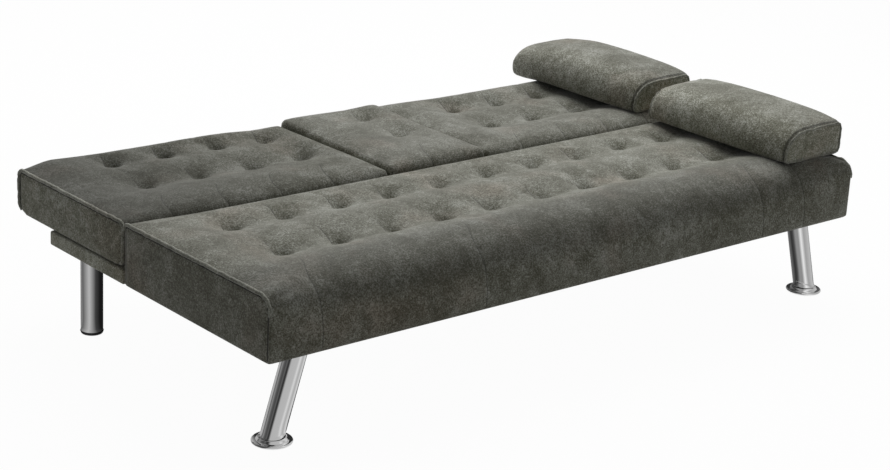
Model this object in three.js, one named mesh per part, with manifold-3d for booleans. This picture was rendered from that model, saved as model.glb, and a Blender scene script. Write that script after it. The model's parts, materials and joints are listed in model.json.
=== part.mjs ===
// Click clack sofa bed, opened flat: a tufted seat and a folding tufted back in two sections,
// a fold down console with two cup wells between them, two loose cushions and four chrome legs.
// Millimetres. X runs along the length, -Y is the front, +Z is up, and the feet stand on z = 0.
// The fold line between seat and back is at y = 0 here, and the whole group is shifted at the end.
import * as THREE from "three";
import { mergeVertices } from "three/addons/utils/BufferGeometryUtils.js";
import Module from "manifold-3d";

const wasm = await Module();
wasm.setup();

// Overall sizes
const bed_length = 1700;
const seat_depth = 515;
const back_reach = 426;
const underside_height = 195;
const seat_thickness = 135;
const back_thickness = 96;
const fold_gap = 5;
const touch_gap = 0.3;
const cut_overrun = 2;
const weld_distance = 0.001;

// Facets of round pieces
const rod_facets = 20;
const pin_facets = 16;
const tube_facets = 24;
const flange_facets = 32;

// Upholstery of the seat and the two back sections
const cover_wall = 10;
const top_padding = 24;
const crown_height = 10;
const crown_run_length = 90;
const crown_edge_share = 0.25;
const draw_in = 5;
const draw_in_length = 70;
const draw_in_share = 1 / 3;
const seat_front_radius = 45;
const seat_rear_radius = 25;
const seat_bottom_radius = 14;
const back_front_radius = 40;
const back_bottom_radius = 34;
const back_rear_radius = 24;
const back_rear_bottom_radius = 20;

// Sewn tufts, on one grid over the seat and the back
const tuft_pitch = 141;
const first_tuft_from_end = 200;
const tuft_depth = 18;
const tuft_width = 27;
const tuft_side_share = 0.9;
const seat_tuft_rows = [291, 107];
const back_tuft_rows = [225, 378];
const seat_tuft_count = 10;
const section_tuft_count = 4;
const console_tuft_column = 5;
const right_section_tuft_column = 7;

// Timber and sheet stock
const foam_thickness = 44;
const back_foam_thickness = 30;
const deck_thickness = 12;
const back_panel_thickness = 6;
const timber = 22;
const dust_cover_thickness = 2.5;
const sleeve_wall = 2.2;

// Base rails behind the seat
const base_rail_height = 28;
const base_rail_width = 107;
const rail_past_leg_plate = 26;
const rear_rail_width = 30;
const tenon_width = 24;
const tenon_length = 250;
const bumper_radius = 12;
const bumper_behind_leg = 2;
const notch_clearance = 3;

// Legs
const tube_radius = 24.5;
const leg_plate_width = 80;
const leg_plate_thickness = 3;
const leg_plate_corner_radius = 12;
const front_foot_from_end = 58;
const front_foot_from_front = 59;
const front_leg_splay_reach = 54;
const rear_leg_from_end = 64;
const rear_leg_reach = 230;
const flange_radius = 42;
const flange_rim_height = 6;
const flange_boss_radius = 30;
const flange_height = 12;
const flange_edge_width = 2;
const cap_height = 5;
const cap_taper_width = 1;

// Click clack hinge: a fixed ratchet disc, a moving arm and a pawl on the arm
const pivot_reach = 52;
const pivot_depth = 44;
const hinge_plate = 5;
const hinge_from_end = 50;
const ratchet_root_radius = 31;
const ratchet_tip_radius = 36;
const ratchet_step = 15;
const ratchet_first_angle = -60;
const ratchet_teeth = 6;
const ratchet_slope_share = 0.72;
const ratchet_face_lean = 1;
const stem_width = 16;
const stem_offset = 4;
const bracket_foot_width = 66;
const bracket_foot_edge = 1.5;
const pivot_pin_radius = 6;
const pivot_pin_head_radius = 10;
const pivot_pin_head = 3;
const hub_radius = 18;
const arm_width = 28;
const arm_reach = 300;
const arm_drop = 18;
const arm_nose_from = 80;
const pawl_length = 40;
const pawl_offset = 6;
const pawl_hub_radius = 8;
const pawl_nose_width = 8;
const pawl_clearance = 0.4;
const pawl_lean = 10;
const pawl_stud_radius = 4;
const pawl_stud_head_radius = 7;
const pawl_stud_head = 2;
const running_gap = 0.4;
const hinge_slot_side = 2.5;

// Console
const console_width = 286;
const console_thickness = 68;
const console_rise = 6;
const console_crown = 6;
const console_tuft_depth = 11;
const console_wall = 8;
const console_padding = 20;
const console_front_radius = 44;
const console_bottom_radius = 28;
const console_side_gap = 4;
const console_board_thickness = 12;
const console_pivot_reach = 156;
const console_pivot_depth = 34;
const console_pin_radius = 4;
const cross_board_thickness = 18;
const cross_board_width = 120;
const cross_board_reach = 252;
const cup_radius = 38;
const cup_wall = 2;
const cup_depth = 50;
const cup_flange_width = 7;
const cup_flange_thickness = 1.5;
const cup_floor_fillet = 6;
const cup_spread = 56;
const cup_reach = 312;

// Loose cushions
const pillow_length = 450;
const pillow_width = 190;
const pillow_end_height = 74;
const pillow_crown = 22;
const pillow_inner_radius = 56;
const pillow_outer_radius = 16;
const pillow_base_radius = 10;
const pillow_draw_in = 9;
const pillow_from_end = 1;
const pillow_shoulder = 80;
const pillow_swell_power = 0.35;
const pillow_ring_shares = [0, 0.025, 0.09, 0.2, 0.35, 0.5, 0.65, 0.8, 0.91, 0.975, 1];
const front_pillow_before_fold = 10;
const rear_pillow_behind_fold = 42;
const pillow_seat_gap = 0.5;

// Derived levels and places
const half_length = bed_length / 2;
const edge_top = underside_height + seat_thickness;
const back_underside = edge_top - back_thickness;
const crown_top = edge_top + crown_height;
const inner_length = half_length - cover_wall - touch_gap;
const inner_front = -seat_depth + cover_wall + touch_gap;
const inner_rear = -cover_wall - touch_gap;
const padding_underside = edge_top - top_padding;
const pivot_z = edge_top - pivot_depth;
const section_start = console_width / 2 + console_side_gap;
const section_inner = section_start + cover_wall + touch_gap;
const hinge_x = half_length - hinge_from_end;
const arm_x = hinge_x + hinge_plate + touch_gap;
const outer_rail_x = arm_x + hinge_plate + touch_gap;
const rail_underside = underside_height + sleeve_wall + touch_gap;
const rail_top = rail_underside + base_rail_height;
const sleeve_top = rail_top + touch_gap + sleeve_wall;
const inner_arc_steps = 4;
const first_tuft_x = -half_length + first_tuft_from_end;

// Finishes
function finish(color, roughness, metalness) {
  return new THREE.MeshStandardMaterial({ color, roughness, metalness });
}
const suede = finish(0x66655b, 0.95, 0);
const foam = finish(0xe6dcae, 0.9, 0);
const pine = finish(0xc9a673, 0.7, 0);
const plywood = finish(0xb98f5e, 0.7, 0);
const black_cloth = finish(0x1d1d1f, 0.95, 0);
const zinc = finish(0x9aa0a5, 0.35, 1);
const chrome = finish(0xdfe3e6, 0.08, 1);
const rubber = finish(0x161616, 0.85, 0);
const black_plastic = finish(0x202022, 0.5, 0);

// Solids from geometries, and back
function solidOf(geometry) {
  const bare = geometry.clone();
  for (const name of Object.keys(bare.attributes)) {
    if (name !== "position") bare.deleteAttribute(name);
  }
  const merged = mergeVertices(bare, weld_distance);
  return new wasm.Manifold(
    new wasm.Mesh({
      numProp: 3,
      vertProperties: new Float32Array(merged.attributes.position.array),
      triVerts: new Uint32Array(merged.index.array),
    }),
  );
}

function geometryOf(solid) {
  const mesh = solid.getMesh();
  const geometry = new THREE.BufferGeometry();
  geometry.setAttribute("position", new THREE.BufferAttribute(new Float32Array(mesh.vertProperties), 3));
  geometry.setIndex(new THREE.BufferAttribute(new Uint32Array(mesh.triVerts), 1));
  return geometry;
}

function cut(body, ...tools) {
  return geometryOf(tools.reduce((left, tool) => left.subtract(solidOf(tool)), solidOf(body)));
}

function join(...bodies) {
  return geometryOf(bodies.map(solidOf).reduce((whole, body) => whole.add(body)));
}

// Basic forms, each given by its limits in the part's own axes
function block([x0, x1], [y0, y1], [z0, z1]) {
  const box = new THREE.BoxGeometry(x1 - x0, y1 - y0, z1 - z0);
  return box.translate((x0 + x1) / 2, (y0 + y1) / 2, (z0 + z1) / 2);
}

function rodAlongX(radius, [x0, x1], y, z, sides = rod_facets) {
  const rod = new THREE.CylinderGeometry(radius, radius, x1 - x0, sides);
  return rod.rotateZ(Math.PI / 2).translate((x0 + x1) / 2, y, z);
}

function rodAlongZ(radius, x, y, [z0, z1], sides = tube_facets) {
  const rod = new THREE.CylinderGeometry(radius, radius, z1 - z0, sides);
  return rod.rotateX(Math.PI / 2).translate(x, y, (z0 + z1) / 2);
}

// A plate whose outline is drawn in Y and Z, from x0 to x1
function plateAlongX(shape, [x0, x1], curveSegments = 6) {
  const plate = new THREE.ExtrudeGeometry(shape, { depth: x1 - x0, bevelEnabled: false, curveSegments });
  const turn = new THREE.Matrix4().makeBasis(
    new THREE.Vector3(0, 1, 0),
    new THREE.Vector3(0, 0, 1),
    new THREE.Vector3(1, 0, 0),
  );
  return plate.applyMatrix4(turn).translate(x0, 0, 0);
}

// A plate whose outline is drawn in X and Y, from z0 to z1
function plateAlongZ(shape, [z0, z1], curveSegments = 4) {
  const plate = new THREE.ExtrudeGeometry(shape, { depth: z1 - z0, bevelEnabled: false, curveSegments });
  return plate.translate(0, 0, z0);
}

const outline = (points) => new THREE.Shape(points.map(([a, b]) => new THREE.Vector2(a, b)));
const degrees = (angle) => (angle * Math.PI) / 180;
const ease = (share) => {
  const t = Math.min(1, Math.max(0, share));
  return t * t * (3 - 2 * t);
};

// Points of an arc between two angles in degrees
function arc(centre, radius, from, to, steps) {
  const points = [];
  for (let i = 0; i <= steps; i++) {
    const angle = degrees(from + ((to - from) * i) / steps);
    points.push([centre[0] + radius * Math.cos(angle), centre[1] + radius * Math.sin(angle)]);
  }
  return points;
}

// A closed skin through rings of points that all have the same count, with a flat cap at each end
function loft(rings, flatten) {
  const count = rings[0].length;
  const position = rings.flat(2);
  const index = [];
  for (let r = 0; r + 1 < rings.length; r++) {
    for (let i = 0; i < count; i++) {
      const a = r * count + i;
      const b = r * count + ((i + 1) % count);
      index.push(a, b, b + count, a, b + count, a + count);
    }
  }
  const last = (rings.length - 1) * count;
  for (const [a, b, c] of capFaces(rings[0], flatten, -1)) index.push(a, b, c);
  for (const [a, b, c] of capFaces(rings.at(-1), flatten, 1)) index.push(last + a, last + b, last + c);
  if (enclosedVolume(position, index) < 0) index.reverse();
  const skin = new THREE.BufferGeometry();
  skin.setAttribute("position", new THREE.Float32BufferAttribute(position, 3));
  skin.setIndex(index);
  return skin;
}

// The faces of a flat cap: they follow the ring at the last end, and run against it at the first
function capFaces(ring, flatten, end) {
  const flat = ring.map(flatten).map(([a, b]) => new THREE.Vector2(a, b));
  const forward = THREE.ShapeUtils.isClockWise(flat) ? end < 0 : end > 0;
  const faces = THREE.ShapeUtils.triangulateShape(flat, []);
  return faces.map(([a, b, c]) => (forward ? [a, b, c] : [c, b, a]));
}

function enclosedVolume(position, index) {
  const point = (i) => new THREE.Vector3().fromArray(position, 3 * i);
  let volume = 0;
  for (let i = 0; i < index.length; i += 3) {
    volume += point(index[i]).dot(point(index[i + 1]).cross(point(index[i + 2]))) / 6;
  }
  return volume;
}

// Group tree: the left hand parts are the right hand ones mirrored
const group = new THREE.Group();
const right_side = new THREE.Group();
const left_side = new THREE.Group();
left_side.scale.x = -1;
group.add(right_side, left_side);

function piece(name, geometry, material, parent = group) {
  const mesh = new THREE.Mesh(geometry, material);
  mesh.name = name;
  parent.add(mesh);
  return mesh;
}

function pair(nameOf, geometry, material) {
  piece(nameOf("right"), geometry, material, right_side);
  piece(nameOf("left"), geometry, material, left_side);
}

// Padded forms: the outline of a section in Y and Z, carried along X with crown, tufts and drawn-in ends
function tuftColumns(first, count) {
  return Array.from({ length: count }, (_, i) => first_tuft_x + (first + i) * tuft_pitch);
}

function tuftDrop(x, y, columns, rows, depth) {
  let drop = 0;
  for (const column of columns) {
    for (const row of rows) {
      const away = Math.hypot(x - column, y - row) / tuft_width;
      drop += depth / (1 + away * away) ** 2;
    }
  }
  return Math.min(drop, depth);
}

// Lines through each tuft, beside it and half way to the next, between two limits
function tuftLines(from, to, centres, margins) {
  const near = tuft_width * tuft_side_share;
  const lines = [...margins];
  centres.forEach((centre, i) => {
    lines.push(centre - near, centre, centre + near);
    if (i + 1 < centres.length) lines.push((centre + centres[i + 1]) / 2);
  });
  const inside = lines.filter((line) => line > from && line < to);
  return [from, ...inside.sort((a, b) => a - b), to];
}

function paddedForm(form) {
  const { x: [x0, x1], y: [y0, y1], z: [z0, top], radii, crown, columns, rows, depth } = form;
  const drawn = draw_in_length * draw_in_share;
  const sides = [x0 + drawn, x0 + draw_in_length, x1 - draw_in_length, x1 - drawn];
  const stations = tuftLines(x0, x1, columns, sides);
  const first = y0 + radii.front;
  const last = y1 - radii.rear;
  const crown_ends = [first + crown_run_length / 2, last - crown_run_length / 2];
  const lines = tuftLines(first, last, rows, crown_ends).slice(1, -1);
  const middle = (y0 + y1) / 2;
  const rings = stations.map((x) => {
    const end = ease(Math.min(x - x0, x1 - x) / draw_in_length);
    const narrow = 1 - (2 * draw_in * (1 - end)) / (y1 - y0);
    const crowned = (y) => {
      const edge = ease(Math.min(y - first, last - y) / crown_run_length + crown_edge_share);
      return top + crown * end * edge - end * tuftDrop(x, y, columns, rows, depth);
    };
    const section = [
      ...arc([y0 + radii.bottomFront, z0 + radii.bottomFront], radii.bottomFront, 270, 180, 3),
      [y0, (z0 + radii.bottomFront + top - radii.front) / 2],
      ...arc([y0 + radii.front, top - radii.front], radii.front, 180, 90, 4),
      ...lines.map((y) => [y, crowned(y)]),
      ...arc([y1 - radii.rear, top - radii.rear], radii.rear, 90, 0, 3),
      [y1, (z0 + radii.bottomRear + top - radii.rear) / 2],
      ...arc([y1 - radii.bottomRear, z0 + radii.bottomRear], radii.bottomRear, 0, -90, 2),
    ];
    return section.map(([y, z]) => [x, middle + (y - middle) * narrow, z]);
  });
  return loft(rings, ([, y, z]) => [y, z]);
}

// The hollow under a padded form, open below between the rounded lower edges
function hollow(form, wall, padding) {
  const { x: [x0, x1], y: [y0, y1], z: [z0, top], radii } = form;
  const innerFront = Math.max(radii.bottomFront - wall, touch_gap);
  const innerRear = Math.max(radii.bottomRear - wall, touch_gap);
  const front = y0 + wall + innerFront;
  const rear = y1 - wall - innerRear;
  const section = outline([
    [front, z0 - cut_overrun],
    ...arc([front, z0 + wall + innerFront], innerFront, 270, 180, inner_arc_steps),
    [y0 + wall, top - padding],
    [y1 - wall, top - padding],
    ...arc([rear, z0 + wall + innerRear], innerRear, 0, -90, inner_arc_steps),
    [rear, z0 - cut_overrun],
  ]);
  return plateAlongX(section, [x0 + wall, x1 - wall]);
}

// Seat
const seat_columns = tuftColumns(0, seat_tuft_count);
const seat_rows = seat_tuft_rows.map((reach) => -reach);
const seat_form = {
  x: [-half_length, half_length],
  y: [-seat_depth, 0],
  z: [underside_height, edge_top],
  radii: {
    front: seat_front_radius,
    rear: seat_rear_radius,
    bottomFront: seat_bottom_radius,
    bottomRear: seat_bottom_radius,
  },
  crown: crown_height,
  columns: seat_columns,
  rows: seat_rows,
  depth: tuft_depth,
};
const end_rail_x = inner_length - timber;
const tenon_outer = end_rail_x - touch_gap;
const tenon_inner = tenon_outer - tenon_width;
const opening_inset = seat_bottom_radius + touch_gap;
const foam_underside = padding_underside - touch_gap - foam_thickness;
const deck_underside = foam_underside - touch_gap - deck_thickness;
const seat_rail_top = deck_underside - touch_gap;
const seat_rail_underside = underside_height + seat_bottom_radius;
const dust_cover_top = underside_height + dust_cover_thickness;

function seatPieces() {
  const tenon_slot = block(
    [tenon_inner - touch_gap, tenon_outer + touch_gap],
    [-cover_wall - seat_bottom_radius, cut_overrun],
    [underside_height - cut_overrun, rail_top + touch_gap],
  );
  const other_slot = tenon_slot.clone().translate(-tenon_inner - tenon_outer, 0, 0);
  const inside = hollow(seat_form, cover_wall, top_padding);
  piece("seat_cover", cut(paddedForm(seat_form), inside, tenon_slot, other_slot), suede);
  const length = [-inner_length, inner_length];
  const depth = [inner_front, inner_rear];
  piece("seat_foam", block(length, depth, [foam_underside, padding_underside - touch_gap]), foam);
  piece("seat_deck", block(length, depth, [deck_underside, foam_underside - touch_gap]), plywood);
  const height = [seat_rail_underside, seat_rail_top];
  piece("seat_front_rail", block(length, [inner_front, inner_front + timber], height), pine);
  const between = [inner_front + timber + touch_gap, inner_rear];
  pair((side) => `seat_${side}_end_rail`, block([end_rail_x, inner_length], between, height), pine);
  const rear_reach = tenon_inner - touch_gap;
  piece("seat_rear_rail", block([-rear_reach, rear_reach], [inner_rear - timber, inner_rear], height), pine);
  const centre = [inner_front + timber + touch_gap, inner_rear - timber - touch_gap];
  piece("seat_centre_rail", block([-timber / 2, timber / 2], centre, height), pine);
  const sheet_y = [-seat_depth + opening_inset, -opening_inset];
  const sheet = block(length, sheet_y, [underside_height, dust_cover_top]);
  piece("seat_dust_cover", sheet, black_cloth);
}

// Base rails behind the seat, their fabric sleeves and the bumpers that the back lies on
const base_rail_end = rear_leg_reach + leg_plate_width / 2 + rail_past_leg_plate;
const rail_outer = half_length - sleeve_wall - touch_gap;
const rail_inner = rail_outer - base_rail_width;
const notch_x = hinge_x + hinge_plate + touch_gap;
const bracket_foot_front = pivot_reach - bracket_foot_width / 2;
const notch_front = bracket_foot_front - notch_clearance;
const notch_rear = bracket_foot_front + bracket_foot_width + notch_clearance;

function basePieces() {
  const rail = outline([
    [tenon_inner, -tenon_length],
    [tenon_outer, -tenon_length],
    [tenon_outer, fold_gap],
    [rail_outer, fold_gap],
    [rail_outer, base_rail_end],
    [rail_inner, base_rail_end],
    [rail_inner, notch_rear],
    [notch_x, notch_rear],
    [notch_x, notch_front],
    [rail_inner, notch_front],
    [rail_inner, fold_gap],
    [tenon_inner, fold_gap],
  ]);
  pair((side) => `base_${side}_side_rail`, plateAlongZ(rail, [rail_underside, rail_top]), pine);
  const cross_front = base_rail_end - rear_rail_width;
  const cross_x = rail_inner - touch_gap;
  const cross = block([-cross_x, cross_x], [cross_front, base_rail_end], [rail_underside, rail_top]);
  piece("base_rear_rail", cross, pine);

  const sleeve_end = base_rail_end + touch_gap + sleeve_wall;
  const around = block([rail_inner, half_length], [fold_gap, sleeve_end], [underside_height, sleeve_top]);
  const inside = block(
    [rail_inner - cut_overrun, rail_outer + touch_gap],
    [fold_gap - cut_overrun, base_rail_end + touch_gap],
    [rail_underside - touch_gap, rail_top + touch_gap],
  );
  const notch = block(
    [rail_inner - cut_overrun, notch_x],
    [notch_front, notch_rear],
    [underside_height - cut_overrun, sleeve_top + cut_overrun],
  );
  pair((side) => `base_${side}_sleeve`, cut(around, inside, notch), suede);
  const rear_sleeve = block([-cross_x, cross_x], [cross_front, sleeve_end], [underside_height, sleeve_top]);
  const rear_inside = block(
    [-cross_x - cut_overrun, cross_x + cut_overrun],
    [cross_front - cut_overrun, base_rail_end + touch_gap],
    [rail_underside - touch_gap, rail_top + touch_gap],
  );
  piece("base_rear_sleeve", cut(rear_sleeve, rear_inside), suede);
  const bumper_x = half_length - rear_leg_from_end;
  const bumper_z = [sleeve_top, back_underside - touch_gap];
  const bumper = rodAlongZ(bumper_radius, bumper_x, rear_leg_reach + bumper_behind_leg, bumper_z, pin_facets);
  pair((side) => `${side}_bumper`, bumper, rubber);
}

// Legs: round chrome tube under a screwed plate, splayed at the front and upright at the rear
function roundedPlate(x, y, side, corner, [z0, z1]) {
  const half = side / 2;
  const inner = half - corner;
  const points = [0, 1, 2, 3].flatMap((quarter) => {
    const sx = quarter === 0 || quarter === 3 ? 1 : -1;
    const sy = quarter < 2 ? 1 : -1;
    return arc([x + sx * inner, y + sy * inner], corner, quarter * 90, quarter * 90 + 90, 3);
  });
  return plateAlongZ(outline(points), [z0, z1]);
}

function leanTube(top, foot, radius, sides = tube_facets) {
  const lean = Math.hypot(top[2] - foot[2], top[0] - foot[0]) / (top[2] - foot[2]);
  const ring = ([x, y, z]) =>
    Array.from({ length: sides }, (_, i) => {
      const angle = degrees((360 * i) / sides);
      return [x + radius * lean * Math.cos(angle), y + radius * Math.sin(angle), z];
    });
  return loft([ring(foot), ring(top)], ([x, y]) => [x, y]);
}

function revolve(profile, x, y, z, sides = flange_facets) {
  const points = profile.map(([radius, height]) => new THREE.Vector2(radius, height));
  return new THREE.LatheGeometry(points, sides).rotateX(Math.PI / 2).translate(x, y, z);
}

function legPieces() {
  const plate_top = underside_height - touch_gap;
  const plate_z = [plate_top - leg_plate_thickness, plate_top];
  const foot = [half_length - front_foot_from_end, -seat_depth + front_foot_from_front];
  const head_x = foot[0] - front_leg_splay_reach;
  const tube = leanTube([head_x, foot[1], plate_z[0]], [...foot, flange_height + touch_gap], tube_radius);
  const plate = roundedPlate(head_x, foot[1], leg_plate_width, leg_plate_corner_radius, plate_z);
  pair((side) => `front_${side}_leg`, join(tube, plate), chrome);
  const flange = revolve(
    [
      [0, 0],
      [flange_radius - flange_edge_width, 0],
      [flange_radius, flange_edge_width],
      [flange_radius, flange_rim_height - flange_edge_width],
      [flange_radius - flange_edge_width, flange_rim_height],
      [flange_boss_radius + flange_edge_width, flange_rim_height + flange_edge_width],
      [flange_boss_radius, flange_height - flange_edge_width],
      [flange_boss_radius - flange_edge_width, flange_height],
      [0, flange_height],
    ],
    ...foot,
    0,
  );
  pair((side) => `front_${side}_foot_flange`, flange, chrome);

  const rear = [half_length - rear_leg_from_end, rear_leg_reach];
  const upright = rodAlongZ(tube_radius, ...rear, [cap_height + touch_gap, plate_z[1]]);
  const rear_plate = roundedPlate(...rear, leg_plate_width, leg_plate_corner_radius, plate_z);
  pair((side) => `rear_${side}_leg`, join(upright, rear_plate), chrome);
  const cap = revolve(
    [
      [0, 0],
      [tube_radius - cap_taper_width, 0],
      [tube_radius, cap_taper_width],
      [tube_radius, cap_height],
      [0, cap_height],
    ],
    ...rear,
    0,
    tube_facets,
  );
  pair((side) => `rear_${side}_foot_cap`, cap, rubber);
}

// Click clack hinge. The bracket stands in the base rail's notch and carries the ratchet disc.
// Each tooth has a steep face that holds the back up and a long slope that lifts the pawl.
const nose_angle = degrees(ratchet_first_angle);
const nose_out = [Math.cos(nose_angle), Math.sin(nose_angle)];
const nose_along = [-nose_out[1], nose_out[0]];
const fromPivot = (out, along) => [
  pivot_reach + out * nose_out[0] + along * nose_along[0],
  pivot_z + out * nose_out[1] + along * nose_along[1],
];
const nose_radius = ratchet_tip_radius + pawl_clearance;
const pawl_pivot = fromPivot(nose_radius + pawl_offset, pawl_length);

function ratchetOutline() {
  const last_angle = ratchet_first_angle + ratchet_step * ratchet_teeth;
  const points = [];
  const at = (radius, angle) => arc([pivot_reach, pivot_z], radius, angle, angle, 1)[0];
  for (let tooth = 0; tooth < ratchet_teeth; tooth++) {
    const start = ratchet_first_angle + tooth * ratchet_step - ratchet_step / 2;
    points.push(at(ratchet_tip_radius, start), at(ratchet_root_radius, start + ratchet_face_lean));
    points.push(at(ratchet_tip_radius, start + ratchet_step * ratchet_slope_share));
  }
  const stem_left = pivot_reach - stem_width + stem_offset;
  const stem_right = pivot_reach + stem_offset;
  const shoulder = (y, radius) => pivot_z - Math.sqrt(radius ** 2 - (y - pivot_reach) ** 2);
  const left_z = shoulder(stem_left, hub_radius);
  const left_angle = (Math.atan2(left_z - pivot_z, stem_left - pivot_reach) * 180) / Math.PI;
  points.push(...arc([pivot_reach, pivot_z], hub_radius, last_angle, 360 + left_angle, 10));
  const foot_top = rail_top - bracket_foot_edge;
  const foot_rear = bracket_foot_front + bracket_foot_width;
  points.push([stem_left, foot_top], [bracket_foot_front, foot_top], [bracket_foot_front, rail_underside]);
  points.push([foot_rear, rail_underside], [foot_rear, foot_top], [stem_right, foot_top]);
  points.push([stem_right, shoulder(stem_right, ratchet_root_radius)]);
  return outline(points);
}

function hingePieces() {
  const plane = [hinge_x, hinge_x + hinge_plate];
  const through = [hinge_x - cut_overrun, hinge_x + hinge_plate + cut_overrun];
  const bore = rodAlongX(pivot_pin_radius + running_gap, through, pivot_reach, pivot_z);
  pair((side) => `${side}_hinge_bracket`, cut(plateAlongX(ratchetOutline(), plane), bore), zinc);

  const pawl_from = ratchet_first_angle + pawl_lean;
  const pawl = outline([
    fromPivot(nose_radius, 0),
    fromPivot(nose_radius + pawl_nose_width / 2, -pawl_nose_width / 4),
    fromPivot(nose_radius + pawl_nose_width, pawl_nose_width / 4),
    ...arc(pawl_pivot, pawl_hub_radius, pawl_from, pawl_from + 180, 8),
  ]);
  const pawl_bore = rodAlongX(pawl_stud_radius + running_gap, through, ...pawl_pivot, pin_facets);
  pair((side) => `${side}_pawl`, cut(plateAlongX(pawl, plane), pawl_bore), zinc);

  const arm_plane = [arm_x, arm_x + hinge_plate];
  const bar_top = pivot_z - arm_drop + arm_width / 2;
  const bar = outline([
    ...arc([pivot_reach, pivot_z], hub_radius, arm_nose_from, 270, 10),
    [pawl_pivot[0], bar_top - arm_width - pawl_stud_head],
    [pawl_pivot[0] + arm_width, bar_top - arm_width],
    ...arc([arm_reach - arm_width / 2, bar_top - arm_width / 2], arm_width / 2, 270, 450, 6),
    [pawl_pivot[0] + arm_width, bar_top],
  ]);
  const stud_x = [hinge_x - touch_gap, arm_x + touch_gap];
  const stud = rodAlongX(pawl_stud_radius, stud_x, ...pawl_pivot, pin_facets);
  const stud_head_x = [hinge_x - touch_gap - pawl_stud_head, hinge_x - touch_gap];
  const stud_head = rodAlongX(pawl_stud_head_radius, stud_head_x, ...pawl_pivot, pin_facets);
  const arm_through = [arm_x - cut_overrun, arm_x + hinge_plate + cut_overrun];
  const arm_bore = rodAlongX(pivot_pin_radius + touch_gap, arm_through, pivot_reach, pivot_z);
  const arm = cut(join(plateAlongX(bar, arm_plane), stud, stud_head), arm_bore);
  pair((side) => `${side}_hinge_arm`, arm, zinc);

  const pin_x = [hinge_x - touch_gap, inner_length - touch_gap];
  const pin = rodAlongX(pivot_pin_radius, pin_x, pivot_reach, pivot_z);
  const head_x = [hinge_x - touch_gap - pivot_pin_head, hinge_x - touch_gap];
  const head = rodAlongX(pivot_pin_head_radius, head_x, pivot_reach, pivot_z);
  pair((side) => `${side}_hinge_pivot_pin`, join(pin, head), zinc);
}

// A rod or bore on the console's pivot line
const console_pivot_z = edge_top - console_pivot_depth;

function consoleRod(radius, along) {
  return rodAlongX(radius, along, console_pivot_reach, console_pivot_z, pin_facets);
}

// Back: two padded sections on timber frames, tied under the console by a cross board
function sectionForm(x, columns) {
  return {
    x,
    y: [fold_gap, back_reach],
    z: [back_underside, edge_top],
    radii: {
      front: back_front_radius,
      rear: back_rear_radius,
      bottomFront: back_bottom_radius,
      bottomRear: back_rear_bottom_radius,
    },
    crown: crown_height,
    columns,
    rows: back_tuft_rows,
    depth: tuft_depth,
  };
}

const back_inner_front = fold_gap + cover_wall + touch_gap;
const back_inner_rear = back_reach - cover_wall - touch_gap;
const back_opening_front = fold_gap + back_bottom_radius + touch_gap;
const back_opening_rear = back_reach - back_rear_bottom_radius - touch_gap;
const frame_underside = back_underside + dust_cover_thickness + touch_gap;
const frame_top = padding_underside - 2 * touch_gap;
const back_foam_underside = frame_top - back_foam_thickness;
const panel_underside = back_foam_underside - touch_gap - back_panel_thickness;
const low_rail_top = panel_underside - touch_gap;
const cross_board_top = edge_top - console_thickness - touch_gap * 2 - cup_flange_thickness;

// The side of a frame rail, rounded at the front to follow the cover
function sideRailOutline() {
  const corner = back_bottom_radius - cover_wall - touch_gap;
  const centre = [fold_gap + back_bottom_radius, back_underside + back_bottom_radius];
  return outline([
    [back_opening_front, frame_underside],
    ...arc(centre, corner, 270, 180, inner_arc_steps),
    [back_inner_front, frame_top],
    [back_opening_rear, frame_top],
    [back_opening_rear, frame_underside],
  ]);
}

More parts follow.
